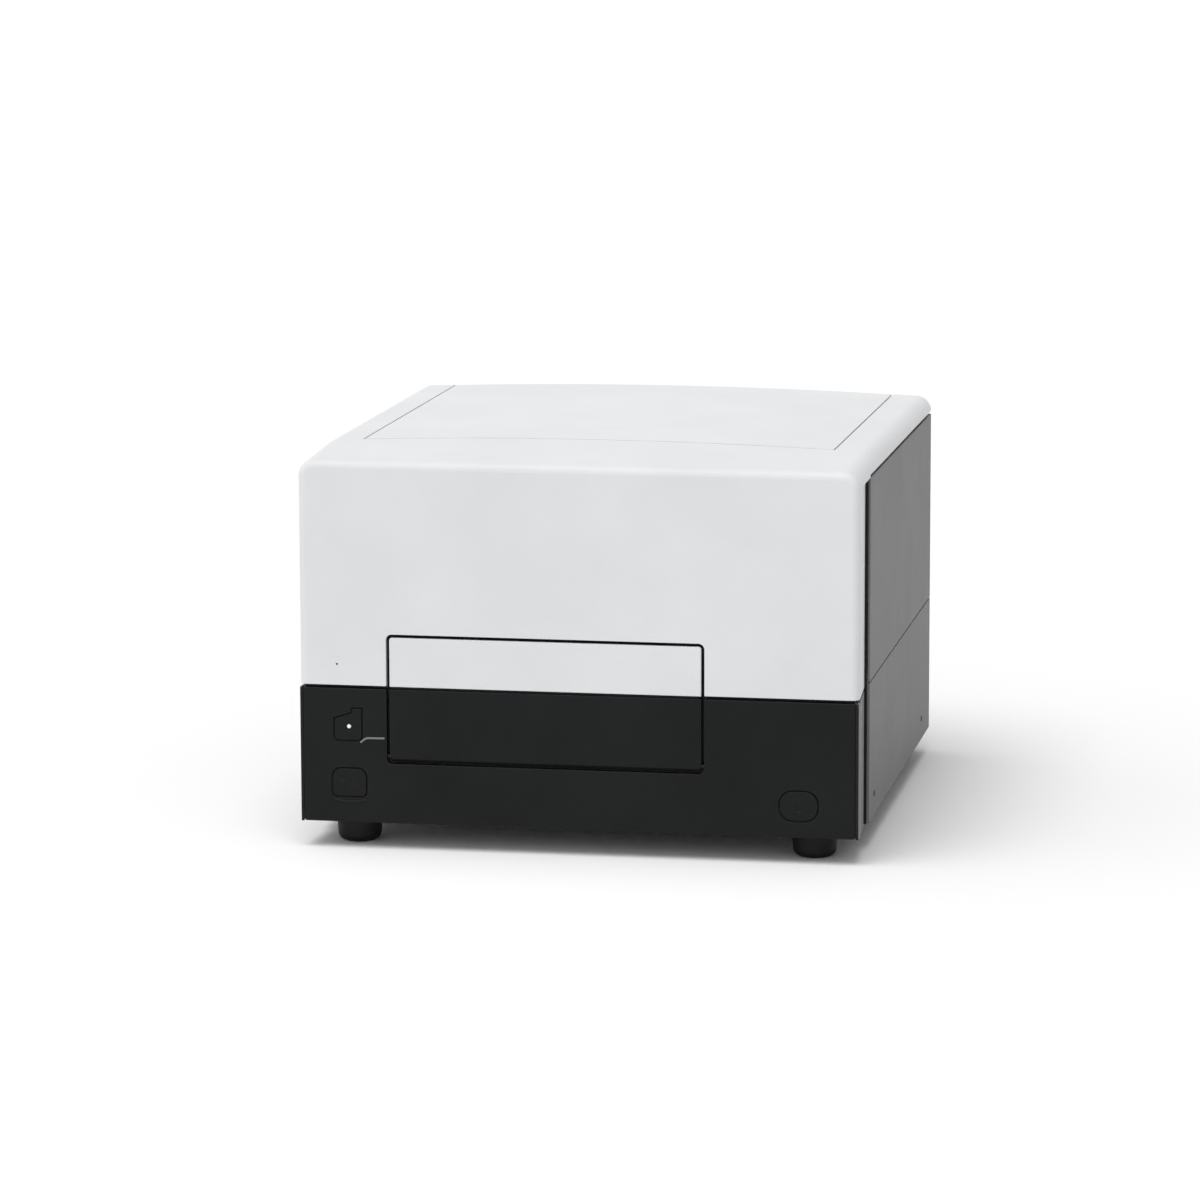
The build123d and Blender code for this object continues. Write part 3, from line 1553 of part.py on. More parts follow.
# ---------------------------------------------------------------- mains inlet, switch and data port
with BuildPart() as mains_inlet:
    inlet_back = panel_rear_y + 1.5 - inlet_recess - 4
    with BuildSketch(facing(panel_rear_y)) as flange_face:
        with Locations((inlet_x, inlet_z)):
            Rectangle(inlet_size[0] + 5, inlet_size[1] + 5)
        chamfer(flange_face.vertices(), 2)
    extrude(amount=-1.8)
    with BuildSketch(facing(inlet_back)):
        with Locations((inlet_x, inlet_z)):
            Rectangle(inlet_size[0], inlet_size[1])
    extrude(amount=-(panel_rear_y - inlet_back))
    with BuildSketch(facing(panel_rear_y + 1.8)) as mouth:
        with Locations((inlet_x, inlet_z)):
            Rectangle(24.4, 16.8)
        chamfer(mouth.vertices().group_by(Axis.Y)[-1], 3.5)
    extrude(amount=inlet_recess, mode=Mode.SUBTRACT)
    with BuildSketch(facing(panel_rear_y + 1.8 - inlet_recess)):
        with Locations((inlet_x - 7, inlet_z - 2), (inlet_x + 7, inlet_z - 2), (inlet_x, inlet_z + 3)):
            Rectangle(2, 4)
    extrude(amount=-(inlet_recess - 4))
mains_inlet.part.label = "mains_inlet"
export_step(mains_inlet.part, "parts/mains_inlet.step")

rocker_pivot_y = panel_rear_y - 6.0
with BuildPart() as rocker_bezel:
    with BuildSketch(facing(panel_rear_y)):
        with Locations((rocker_x, rocker_z)):
            RectangleRounded(rocker_size[0] + 7, rocker_size[1] + 7, 2)
            Rectangle(rocker_size[0] + 0.8, rocker_size[1] + 0.8, mode=Mode.SUBTRACT)
    extrude(amount=-1.5)
    with BuildSketch(facing(panel_rear_y - 16)):
        with Locations((rocker_x, rocker_z)):
            Rectangle(rocker_size[0] + 3.8, rocker_size[1] + 3.8)
            Rectangle(rocker_size[0] + 0.8, rocker_size[1] + 0.8, mode=Mode.SUBTRACT)
    extrude(amount=-16)
    with BuildSketch(facing(panel_rear_y - 18)):
        with Locations((rocker_x, rocker_z)):
            Rectangle(rocker_size[0] + 3.8, rocker_size[1] + 3.8)
    extrude(amount=-2)
    # bores for the rocker's trunnions
    with BuildSketch(flank(rocker_x - rocker_size[0] / 2 - 3)):
        with Locations((rocker_pivot_y, rocker_z)):
            Circle(trunnion_radius + run_slack)
    extrude(amount=rocker_size[0] + 6, mode=Mode.SUBTRACT)
rocker_bezel.part.label = "rocker_bezel"
export_step(rocker_bezel.part, "parts/rocker_bezel.step")

rocker_plane = Plane(
    origin=(rocker_x - rocker_size[0] / 2, rocker_pivot_y, rocker_z),
    x_dir=(0, cos(radians(rocker_tilt)), -sin(radians(rocker_tilt))),
    z_dir=(1, 0, 0),
)
with BuildPart() as power_rocker:
    rocker_half = rocker_size[1] / 2 - 0.9
    with BuildSketch(rocker_plane):
        Polygon(
            (-4, -2.5),
            (5.8, -rocker_half),
            (7.2, -rocker_half),
            (6.0, 0),
            (7.2, rocker_half),
            (5.8, rocker_half),
            (-4, 2.5),
            align=None,
        )
    extrude(amount=rocker_size[0])
    with BuildSketch(flank(rocker_x - rocker_size[0] / 2 - trunnion_reach)):
        with Locations((rocker_pivot_y, rocker_z)):
            Circle(trunnion_radius)
    extrude(amount=rocker_size[0] + 2 * trunnion_reach)
power_rocker.part.label = "power_rocker"
export_step(power_rocker.part, "parts/power_rocker.step")

with BuildPart() as data_port:
    with BuildSketch(facing(panel_rear_y - 16)):
        with Locations((port_x, port_z)):
            Rectangle(*port_size)
    extrude(amount=-16.5)
    with BuildSketch(facing(panel_rear_y + 0.5)):
        with Locations((port_x, port_z)):
            Rectangle(8.6, 7.9)
            Rectangle(5.6, 3.2, mode=Mode.SUBTRACT)
    extrude(amount=9, mode=Mode.SUBTRACT)
data_port.part.label = "data_port"
export_step(data_port.part, "parts/data_port.step")
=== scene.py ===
import bpy
import bmesh
from math import cos, pi, radians, sin
from mathutils import Matrix, Vector


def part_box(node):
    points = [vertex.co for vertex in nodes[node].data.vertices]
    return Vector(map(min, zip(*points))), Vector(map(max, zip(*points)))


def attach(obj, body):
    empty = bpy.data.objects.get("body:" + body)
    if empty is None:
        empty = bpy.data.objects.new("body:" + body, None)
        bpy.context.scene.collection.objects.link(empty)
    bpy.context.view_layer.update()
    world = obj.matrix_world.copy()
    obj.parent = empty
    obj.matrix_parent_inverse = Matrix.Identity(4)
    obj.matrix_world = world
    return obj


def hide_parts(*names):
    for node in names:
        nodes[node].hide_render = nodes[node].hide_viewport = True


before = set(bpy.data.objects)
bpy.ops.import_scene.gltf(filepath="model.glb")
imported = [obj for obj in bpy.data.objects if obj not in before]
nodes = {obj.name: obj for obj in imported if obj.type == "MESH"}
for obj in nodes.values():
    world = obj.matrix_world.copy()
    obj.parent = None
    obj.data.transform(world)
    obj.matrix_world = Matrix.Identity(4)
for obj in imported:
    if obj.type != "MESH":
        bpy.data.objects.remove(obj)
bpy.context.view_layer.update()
# one millimetre in Blender's metres
mm = 0.001
print("stage: frame loaded,", len(nodes), "nodes")


# colours are written as sRGB hex and turned to linear here
def linearColour(hexCode):
    values = [int(hexCode[i:i + 2], 16) / 255 for i in (1, 3, 5)]
    linear = [v / 12.92 if v <= 0.04045 else ((v + 0.055) / 1.055) ** 2.4 for v in values]
    return (*linear, 1.0)


# adds one node, sets its own properties, its socket values and its links
def addNode(tree, kind, values=None, links=None, **settings):
    node = tree.nodes.new(kind)
    for name, value in settings.items():
        setattr(node, name, value)
    for socket, value in (values or {}).items():
        node.inputs[socket].default_value = value
    for socket, source in (links or {}).items():
        tree.links.new(source, node.inputs[socket])
    return node


# an empty material, ready for its nodes
def newMaterial(name):
    material = bpy.data.materials.new(name)
    material.use_nodes = True
    material.node_tree.nodes.clear()
    return material, material.node_tree


# moulded, coated and cast surfaces: two tones in soft drifts, a fine grain in the bump,
# rounded edges for the light to catch, edges painted lighter as part rub wear and part painted highlight,
# and roughness that follows the grain
def grainedSurface(name, look):
    material, tree = newMaterial(name)
    place = addNode(tree, "ShaderNodeTexCoord")
    drift = addNode(tree, "ShaderNodeTexNoise",
                    {"Scale": 1 / (look["driftSize"] * mm), "Detail": 3.0, "Roughness": 0.55},
                    {"Vector": place.outputs["Object"]})
    grain = addNode(tree, "ShaderNodeTexNoise",
                    {"Scale": 1 / (look["grainSize"] * mm), "Detail": 2.0, "Roughness": 0.6},
                    {"Vector": place.outputs["Object"]})
    tone = addNode(tree, "ShaderNodeValToRGB", None, {"Fac": drift.outputs["Fac"]})
    tone.color_ramp.elements[0].position = 0.35
    tone.color_ramp.elements[1].position = 0.65
    tone.color_ramp.elements[0].color = linearColour(look["darkTone"])
    tone.color_ramp.elements[1].color = linearColour(look["lightTone"])
    fleck = addNode(tree, "ShaderNodeMapRange",
                    {"From Min": 0.3, "From Max": 0.7,
                     "To Min": 1 - look["fleck"], "To Max": 1 + look["fleck"]},
                    {"Value": grain.outputs["Fac"]})
    flecked = addNode(tree, "ShaderNodeVectorMath", None,
                      {0: tone.outputs["Color"], 3: fleck.outputs["Result"]}, operation="SCALE")
    rough = addNode(tree, "ShaderNodeMapRange",
                    {"From Min": 0.3, "From Max": 0.7,
                     "To Min": look["roughness"] - look["roughSpread"],
                     "To Max": look["roughness"] + look["roughSpread"]},
                    {"Value": grain.outputs["Fac"]})
    edge = addNode(tree, "ShaderNodeBevel", {"Radius": look["edge"] * mm}, samples=4)
    # where the rounded normal leaves the flat one there is an edge, painted a little lighter: partly rub
    # wear, partly painted highlight
    flat = addNode(tree, "ShaderNodeNewGeometry")
    along = addNode(tree, "ShaderNodeVectorMath", None,
                    {0: edge.outputs["Normal"], 1: flat.outputs["True Normal"]}, operation="DOT_PRODUCT")
    rubAndHighlight = addNode(tree, "ShaderNodeMapRange",
                  {"From Min": 0.98, "From Max": 0.80, "To Min": 0.0, "To Max": look["edgeRubAndHighlight"]},
                  {"Value": along.outputs["Value"]})
    wornAndHighlit = addNode(tree, "ShaderNodeMix", {7: linearColour(look["edgeRubHighlightTone"])},
                   {0: rubAndHighlight.outputs["Result"], 6: flecked.outputs["Vector"]}, data_type="RGBA")
    bump = addNode(tree, "ShaderNodeBump",
                   {"Strength": look["grainStrength"], "Distance": look["grainDepth"] * mm},
                   {"Height": grain.outputs["Fac"], "Normal": edge.outputs["Normal"]})
    shader = addNode(tree, "ShaderNodeBsdfPrincipled",
                     {"Metallic": look.get("metallic", 0.0), "Specular IOR Level": look.get("gloss", 0.5)},
                     {"Base Color": wornAndHighlit.outputs[2], "Roughness": rough.outputs["Result"],
                      "Normal": bump.outputs["Normal"]})
    addNode(tree, "ShaderNodeOutputMaterial", None, {"Surface": shader.outputs["BSDF"]})
    return material


# drawn or ground metal: long fine scratches along one axis
def drawnMetal(name, look):
    material, tree = newMaterial(name)
    place = addNode(tree, "ShaderNodeTexCoord")
    stretch = addNode(tree, "ShaderNodeMapping", {"Scale": look["stretch"]},
                      {"Vector": place.outputs["Object"]})
    lines = addNode(tree, "ShaderNodeTexNoise",
                    {"Scale": 1 / (look["lineWidth"] * mm), "Detail": 4.0, "Roughness": 0.7},
                    {"Vector": stretch.outputs["Vector"]})
    tone = addNode(tree, "ShaderNodeValToRGB", None, {"Fac": lines.outputs["Fac"]})
    tone.color_ramp.elements[0].position = 0.3
    tone.color_ramp.elements[1].position = 0.7
    tone.color_ramp.elements[0].color = linearColour(look["darkTone"])
    tone.color_ramp.elements[1].color = linearColour(look["lightTone"])
    rough = addNode(tree, "ShaderNodeMapRange",
                    {"From Min": 0.3, "From Max": 0.7,
                     "To Min": look["roughness"] - look["roughSpread"],
                     "To Max": look["roughness"] + look["roughSpread"]},
                    {"Value": lines.outputs["Fac"]})
    edge = addNode(tree, "ShaderNodeBevel", {"Radius": look["edge"] * mm}, samples=4)
    bump = addNode(tree, "ShaderNodeBump",
                   {"Strength": look["lineStrength"], "Distance": look["lineDepth"] * mm},
                   {"Height": lines.outputs["Fac"], "Normal": edge.outputs["Normal"]})
    shader = addNode(tree, "ShaderNodeBsdfPrincipled", {"Metallic": 1.0},
                     {"Base Color": tone.outputs["Color"], "Roughness": rough.outputs["Result"],
                      "Normal": bump.outputs["Normal"]})
    addNode(tree, "ShaderNodeOutputMaterial", None, {"Surface": shader.outputs["BSDF"]})
    return material


# green solder mask over copper: a lattice of fine tracks with bright pads
def circuitBoard(name, look):
    material, tree = newMaterial(name)
    place = addNode(tree, "ShaderNodeTexCoord")
    turned = addNode(tree, "ShaderNodeMapping", {"Rotation": (radians(90), 0, 0)},
                     {"Vector": place.outputs["Object"]})
    tracks = addNode(tree, "ShaderNodeTexBrick",
                     {"Scale": 1 / (look["trackPitch"] * mm), "Mortar Size": 0.03,
                      "Color1": linearColour(look["mask"]), "Color2": linearColour(look["maskLight"]),
                      "Mortar": linearColour(look["track"])},
                     {"Vector": turned.outputs["Vector"]})
    pads = addNode(tree, "ShaderNodeTexVoronoi",
                   {"Scale": 1 / (look["padPitch"] * mm), "Randomness": 0.35},
                   {"Vector": turned.outputs["Vector"]})
    padMask = addNode(tree, "ShaderNodeMath", {1: 0.16}, {0: pads.outputs["Distance"]},
                      operation="LESS_THAN")
    colour = addNode(tree, "ShaderNodeMix", {7: linearColour(look["pad"])},
                     {0: padMask.outputs["Value"], 6: tracks.outputs["Color"]}, data_type="RGBA")
    bump = addNode(tree, "ShaderNodeBump", {"Strength": 0.3, "Distance": 0.05 * mm},
                   {"Height": tracks.outputs["Fac"]})
    shader = addNode(tree, "ShaderNodeBsdfPrincipled", {"Roughness": 0.35},
                     {"Base Color": colour.outputs[2], "Metallic": padMask.outputs["Value"],
                      "Normal": bump.outputs["Normal"]})
    addNode(tree, "ShaderNodeOutputMaterial", None, {"Surface": shader.outputs["BSDF"]})
    return material


# clear acrylic light pipe over a white lamp: a bright middle that fades to its rim
def litAcrylic(name, look):
    material, tree = newMaterial(name)
    place = addNode(tree, "ShaderNodeTexCoord")
    centred = addNode(tree, "ShaderNodeVectorMath", {1: look["centre"]},
                      {0: place.outputs["Object"]}, operation="DISTANCE")
    fall = addNode(tree, "ShaderNodeMapRange",
                   {"From Min": 0.0, "From Max": look["radius"], "To Min": 1.0, "To Max": 0.35},
                   {"Value": centred.outputs["Value"]})
    tone = addNode(tree, "ShaderNodeValToRGB", None, {"Fac": fall.outputs["Result"]})
    tone.color_ramp.elements[0].color = linearColour(look["rim"])
    tone.color_ramp.elements[1].color = linearColour(look["core"])
    shader = addNode(tree, "ShaderNodeBsdfPrincipled",
                     {"Roughness": 0.18, "IOR": 1.49, "Emission Strength": look["glow"]},
                     {"Base Color": tone.outputs["Color"], "Emission Color": tone.outputs["Color"]})
    addNode(tree, "ShaderNodeOutputMaterial", None, {"Surface": shader.outputs["BSDF"]})
    return material


ledLow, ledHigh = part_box("status_led")
ledCentre = ((ledLow[0] + ledHigh[0]) / 2, ledLow[1], (ledLow[2] + ledHigh[2]) / 2)

finishes = {
    # spark-eroded ABS: even, dry-looking, with a soft broad highlight
    "lightAbs": grainedSurface("moulded light grey ABS", {
        "darkTone": "#DCDDDF", "lightTone": "#E0E1E3", "driftSize": 90, "grainSize": 0.9,
        "fleck": 0.012, "gloss": 0.12, "roughness": 0.38, "roughSpread": 0.05, "grainStrength": 0.15,
        "grainDepth": 0.05, "edge": 0.6, "edgeRubHighlightTone": "#EEEEF0", "edgeRubAndHighlight": 0.5}),
    # the same tool texture in charcoal: grain shows as a faint grey bloom
    "charcoalAbs": grainedSurface("moulded charcoal ABS", {
        "darkTone": "#151617", "lightTone": "#191A1B", "driftSize": 70, "grainSize": 0.9,
        "fleck": 0.06, "roughness": 0.42, "roughSpread": 0.07, "grainStrength": 0.22,
        "grainDepth": 0.05, "edge": 0.7, "edgeRubHighlightTone": "#4A4C4E", "edgeRubAndHighlight": 0.55, "gloss": 0.13}),
    # powder coat on sheet steel: slight orange peel that breaks up the shine
    "greyPowderCoat": grainedSurface("mid grey powder coat", {
        "darkTone": "#787878", "lightTone": "#7E7E7E", "driftSize": 60, "grainSize": 1.6,
        "fleck": 0.02, "roughness": 0.45, "roughSpread": 0.06, "grainStrength": 0.35,
        "grainDepth": 0.06, "edge": 0.6, "edgeRubHighlightTone": "#989898", "edgeRubAndHighlight": 0.5, "gloss": 0.04}),
    # moulded frame in the panels' grey, a little smoother
    "frameAbs": grainedSurface("moulded mid grey ABS", {
        "darkTone": "#787878", "lightTone": "#7E7E7E", "driftSize": 60, "grainSize": 1.0,
        "fleck": 0.015, "roughness": 0.42, "roughSpread": 0.05, "grainStrength": 0.2,
        "grainDepth": 0.05, "edge": 0.4, "edgeRubHighlightTone": "#989898", "edgeRubAndHighlight": 0.5, "gloss": 0.04}),
    # compression-moulded rubber: deep black with a dusty bloom
    "footRubber": grainedSurface("moulded black rubber", {
        "darkTone": "#0C0C0C", "lightTone": "#151515", "driftSize": 12, "grainSize": 0.7,
        "fleck": 0.12, "roughness": 0.62, "roughSpread": 0.10, "grainStrength": 0.3,
        "grainDepth": 0.08, "edge": 0.6, "edgeRubHighlightTone": "#2C2C2C", "edgeRubAndHighlight": 0.5, "gloss": 0.25}),
    # plain black ABS of fan, sockets and sleeve
    "blackAbs": grainedSurface("moulded black ABS", {
        "darkTone": "#101011", "lightTone": "#161617", "driftSize": 25, "grainSize": 0.8,
        "fleck": 0.06, "roughness": 0.45, "roughSpread": 0.08, "grainStrength": 0.2,
        "grainDepth": 0.05, "edge": 0.3, "edgeRubHighlightTone": "#303032", "edgeRubAndHighlight": 0.5, "gloss": 0.3}),
    # black oxide on small steel parts: oily black that keeps the shape readable
    "blackOxide": grainedSurface("black oxide steel", {
        "darkTone": "#141416", "lightTone": "#1E1F22", "driftSize": 3, "grainSize": 0.3,
        "fleck": 0.1, "roughness": 0.4, "roughSpread": 0.08, "grainStrength": 0.2,
        "grainDepth": 0.02, "edge": 0.2, "edgeRubHighlightTone": "#55565A", "edgeRubAndHighlight": 0.6, "metallic": 0.6}),
    # black anodised plate: matt, slightly brown where the dye is thin
    "blackAnodised": grainedSurface("black anodised aluminium", {
        "darkTone": "#1B1A1A", "lightTone": "#262423", "driftSize": 18, "grainSize": 0.5,
        "fleck": 0.08, "roughness": 0.48, "roughSpread": 0.08, "grainStrength": 0.2,
        "grainDepth": 0.03, "edge": 0.4, "edgeRubHighlightTone": "#6A6866", "edgeRubAndHighlight": 0.5, "metallic": 0.4}),
    # bead-blasted aluminium: bright, soft, with a fine sparkle
    "blastedAluminium": grainedSurface("bead-blasted aluminium", {
        "darkTone": "#B9BBBD", "lightTone": "#C6C8CA", "driftSize": 22, "grainSize": 0.4,
        "fleck": 0.05, "roughness": 0.42, "roughSpread": 0.08, "grainStrength": 0.25,
        "grainDepth": 0.03, "edge": 0.4, "edgeRubHighlightTone": "#E2E3E4", "edgeRubAndHighlight": 0.5, "metallic": 1.0}),
    # sintered bronze: warm and porous
    "sinteredBronze": grainedSurface("sintered bronze", {
        "darkTone": "#8A6A3C", "lightTone": "#A98450", "driftSize": 3, "grainSize": 0.3,
        "fleck": 0.15, "roughness": 0.5, "roughSpread": 0.1, "grainStrength": 0.4,
        "grainDepth": 0.03, "edge": 0.2, "edgeRubHighlightTone": "#D2AE74", "edgeRubAndHighlight": 0.6, "metallic": 1.0}),
    # ground steel rods: bright with lines along the slide
    "groundSteel": drawnMetal("ground steel", {
        "darkTone": "#A9ABAE", "lightTone": "#C9CBCE", "lineWidth": 0.25,
        "stretch": (1.0, 0.05, 1.0), "roughness": 0.24, "roughSpread": 0.06, "edge": 0.3,
        "lineStrength": 0.2, "lineDepth": 0.02}),
    # zinc-plated screws: grey-blue, softly brushed
    "zincSteel": drawnMetal("zinc-plated steel", {
        "darkTone": "#8E9194", "lightTone": "#B4B7BA", "lineWidth": 0.2,
        "stretch": (1.0, 0.3, 1.0), "roughness": 0.34, "roughSpread": 0.06, "edge": 0.3,
        "lineStrength": 0.2, "lineDepth": 0.02}),
    # solder mask over copper: two greens with gold pads
    "boardGreen": circuitBoard("green circuit board", {
        "trackPitch": 9, "padPitch": 7, "mask": "#0C4A26", "maskLight": "#0F5630",
        "track": "#1E7A45", "pad": "#C8B36A"}),
    # clear acrylic with a lamp behind it: the one bright point on the front
    "litAcrylic": litAcrylic("lit acrylic", {
        "centre": ledCentre, "radius": 1.7 * mm, "rim": "#6E7276", "core": "#F4F6F8", "glow": 0.35}),
}

nodeFinish = {
    "upper_cover": "lightAbs", "top_lid": "lightAbs", "door_skin_upper": "lightAbs",
    "lower_front_panel": "charcoalAbs", "door_skin_lower": "charcoalAbs",
    "status_button": "charcoalAbs", "plate_button": "charcoalAbs", "power_button": "charcoalAbs",
    "side_panel_left": "greyPowderCoat", "side_panel_right": "greyPowderCoat",
    "base_tray": "greyPowderCoat", "rear_panel": "greyPowderCoat", "front_frame": "frameAbs",
    "door_backing": "blackAbs", "door_sleeve": "blackAbs", "door_seal": "footRubber",
    "foot_front_left": "footRubber", "foot_front_right": "footRubber",
    "foot_rear_left": "footRubber", "foot_rear_right": "footRubber",
    "status_led": "litAcrylic", "switch_boards": "boardGreen", "main_board": "boardGreen",
    "board_standoffs": "sinteredBronze", "linear_bushes": "sinteredBronze",
    "foot_screws": "zincSteel", "case_screws": "blackOxide", "fan_guard": "zincSteel",
    "data_port": "zincSteel", "lever_pin": "groundSteel", "clamp_lever": "zincSteel",
    "hinge_pins": "blackOxide", "guide_rods": "groundSteel", "cross_rods": "groundSteel",
    "scan_screw": "groundSteel", "bridge_posts": "groundSteel",
    "transport_deck": "blastedAluminium", "rod_blocks": "blastedAluminium",
    "belt_brackets": "blastedAluminium", "belt_clamp": "blastedAluminium",
    "drive_pulley": "blastedAluminium", "idler_pulley": "blastedAluminium",
    "optics_bridge": "blastedAluminium", "flash_lamp": "blastedAluminium",
    "photomultiplier": "blastedAluminium", "power_supply": "blastedAluminium",
    "transport_stage": "blackAnodised", "plate_carrier": "blackAnodised",
    "excitation_monochromator": "blackAnodised", "emission_monochromator": "blackAnodised",
    "upper_read_head": "blackAnodised", "lower_read_head": "blackAnodised",
    "scan_motor": "blackAbs", "drive_motor": "blackAbs", "fan_housing": "blackAbs",
    "fan_rotor": "blackAbs", "mains_inlet": "blackAbs", "rocker_bezel": "blackAbs",
    "power_rocker": "blackAbs", "drive_belt": "footRubber",
}
for name, node in nodes.items():
    node.data.materials.clear()
    node.data.materials.append(finishes[nodeFinish[name]])
print("stage: finishes on every node")


# makes a mesh object from points and faces, merged and with its faces turned outwards
def meshPiece(name, points, faces, finish, body):
    shape = bmesh.new()
    corners = [shape.verts.new(Vector(p) * mm) for p in points]
    for face in faces:
        shape.faces.new([corners[i] for i in face])
    bmesh.ops.recalc_face_normals(shape, faces=shape.faces)
    mesh = bpy.data.meshes.new(name)
    shape.to_mesh(mesh)
    shape.free()
    piece = bpy.data.objects.new(name, mesh)
    bpy.context.scene.collection.objects.link(piece)
    mesh.materials.append(finishes[finish])
    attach(piece, body)
    return piece


# points and faces of an upright box, for strips and pads
def boxShape(low, high):
    points = [(x, y, z) for x in (low[0], high[0]) for y in (low[1], high[1])
              for z in (low[2], high[2])]
    faces = [(0, 1, 3, 2), (4, 6, 7, 5), (0, 4, 5, 1), (2, 3, 7, 6), (0, 2, 6, 4), (1, 5, 7, 3)]
    return points, faces


# several lists of points and faces as one
def joinShapes(shapes):
    points, faces = [], []
    for somePoints, someFaces in shapes:
        faces += [tuple(i + len(points) for i in face) for face in someFaces]
        points += somePoints
    return points, faces


# a node's lowest and highest corners, in millimetres
def boxMm(node):
    low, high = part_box(node)
    return [v * 1000 for v in low], [v * 1000 for v in high]


# a tube swept along a path, square to it, with a cap at each end
def sweptShape(path, outline, upright):
    points, faces = [], []
    count = len(outline)
    for index, here in enumerate(path):
        before, after = path[max(index - 1, 0)], path[min(index + 1, len(path) - 1)]
        along = (Vector(after) - Vector(before)).normalized()
        across = along.cross(Vector(upright)).normalized()
        over = Vector(upright)
        for a, b in outline:
            points.append(tuple(Vector(here) + across * a + over * b))
    for index in range(len(path) - 1):
        for step in range(count):
            a, b = index * count + step, index * count + (step + 1) % count
            faces.append((a, b, b + count, a + count))
    faces.append(tuple(range(count)))
    faces.append(tuple(range((len(path) - 1) * count, len(path) * count)))
    return points, faces


coverLow, coverHigh = boxMm("upper_cover")
frameLow, frameHigh = boxMm("front_frame")
panelLow, panelHigh = boxMm("lower_front_panel")
trayLow, trayHigh = boxMm("base_tray")
doorLow, doorHigh = boxMm("door_skin_lower")

# black sheets behind the seams, painted shade: they turn every seam into a dark line
seamShadeSheet = {
    "thickness": 0.7, "standBack": 0.9, "width": 10.0, "overFloor": 1.0, "underRoll": 3.5,
    "besideDoor": 3.4, "height": 10.0, "overPanel": 0.3, "behindCover": 3.2, "insideCover": 3.6,
    "touch": 0.1,
}


# dark sheets at the side seams and above the charcoal panel, standing in for the shade inside those gaps
def makeSeamShadeSheet():
    shapes = []
    seamY = (frameHigh[1] + trayLow[1]) / 2
    near, far = seamY - seamShadeSheet["thickness"] / 2, seamY + seamShadeSheet["thickness"] / 2
    outer = trayHigh[0] - seamShadeSheet["standBack"]
    rollLow = boxMm("side_panel_right")[1][2] - seamShadeSheet["underRoll"]
    for sign in (-1, 1):
        xs = sorted((sign * outer, sign * (outer - seamShadeSheet["width"])))
        shapes.append(boxShape((xs[0], near, trayLow[2] + seamShadeSheet["overFloor"]), (xs[1], far, rollLow)))
    low, high = panelHigh[2] + seamShadeSheet["overPanel"], panelHigh[2] + seamShadeSheet["height"]
    front, back = coverLow[1] + seamShadeSheet["behindCover"], panelHigh[1] - seamShadeSheet["touch"]
    clear, wall = seamShadeSheet["besideDoor"], seamShadeSheet["insideCover"]
    shapes.append(boxShape((coverLow[0] + wall, front, low), (doorLow[0] - clear, back, high)))
    shapes.append(boxShape((doorHigh[0] + clear, front, low), (coverHigh[0] - wall, back, high)))
    points, faces = joinShapes(shapes)
    meshPiece("seam_shade_sheet", points, faces, "footRubber", "housing")


# black strips beside the charcoal panel, painted shade: they cover the frame's rim so the panel's side seams
# read as dark lines
panelEdgeShade = {"front": 0.35, "depth": 0.3, "inset": 0.15, "clear": 0.12, "foot": 0.1, "top": 0.5}


# the strips darken the frame's rim where shade would fall in the seam
def makePanelEdgeShade():
    shapes = []
    front, back = frameLow[1] - panelEdgeShade["front"], frameLow[1] + panelEdgeShade["depth"]
    top = panelHigh[2] - panelEdgeShade["top"]
    for sign in (-1, 1):
        inner = panelHigh[0] + panelEdgeShade["clear"]
        outer = frameHigh[0] - panelEdgeShade["inset"]
        xs = sorted((sign * inner, sign * outer))
        shapes.append(boxShape((xs[0], front, frameLow[2] + panelEdgeShade["foot"]), (xs[1], back, top)))
    points, faces = joinShapes(shapes)
    meshPiece("panel_edge_shade", points, faces, "footRubber", "housing")


# raised pointer from the upper key to the door: an elbowed bead with a rounded back; its mid grey on the
# charcoal panel is a painted highlight for the lit ridge
keyPointer = {
    "path": ((-166.0, 81.9), (-163.7, 83.8), (-161.8, 85.1),
             (-160.2, 85.4), (-154.0, 85.5), (-147.4, 85.6)),
    "width": 1.5, "rise": 0.55, "steps": 6,
}
beadRoot = 0.3


# section of a raised bead: half an ellipse with a root that sinks into what carries it
def beadOutline(look):
    width, rise, steps = look["width"], look["rise"], look["steps"]
    rim = [(width / 2 * cos(pi * i / steps), rise * sin(pi * i / steps)) for i in range(steps + 1)]
    return rim + [(-width / 2, -beadRoot), (width / 2, -beadRoot)]


def makeKeyPointer():
    path = [(x, panelLow[1], z) for x, z in keyPointer["path"]]
    points, faces = sweptShape(path, beadOutline(keyPointer), (0, -1, 0))
    # the mid grey finish on the bead is a painted highlight along the ridge
    meshPiece("key_pointer", points, faces, "frameAbs", "housing")


# moulded thumb rest under the lower key, a shallow crescent
thumbRest = {
    "width": 1.6, "rise": 0.9, "steps": 6, "drop": 3.0, "lift": 0.6, "under": 0.2,
    "left": 3.2, "right": 1.4, "arcStart": 0.12, "arcShare": 0.76, "pathSteps": 14,
}


def makeThumbRest():
    low, high = boxMm("plate_button")
    left, right = low[0] + thumbRest["left"], high[0] - thumbRest["right"]
    base = low[2] + thumbRest["under"] + thumbRest["lift"]
    path = []
    for step in range(thumbRest["pathSteps"] + 1):
        share = step / thumbRest["pathSteps"]
        drop = thumbRest["drop"] * sin(pi * (thumbRest["arcStart"] + thumbRest["arcShare"] * share))
        path.append((left + (right - left) * share, panelLow[1], base - drop))
    points, faces = sweptShape(path, beadOutline(thumbRest), (0, -1, 0))
    meshPiece("thumb_rest", points, faces, "charcoalAbs", "housing")


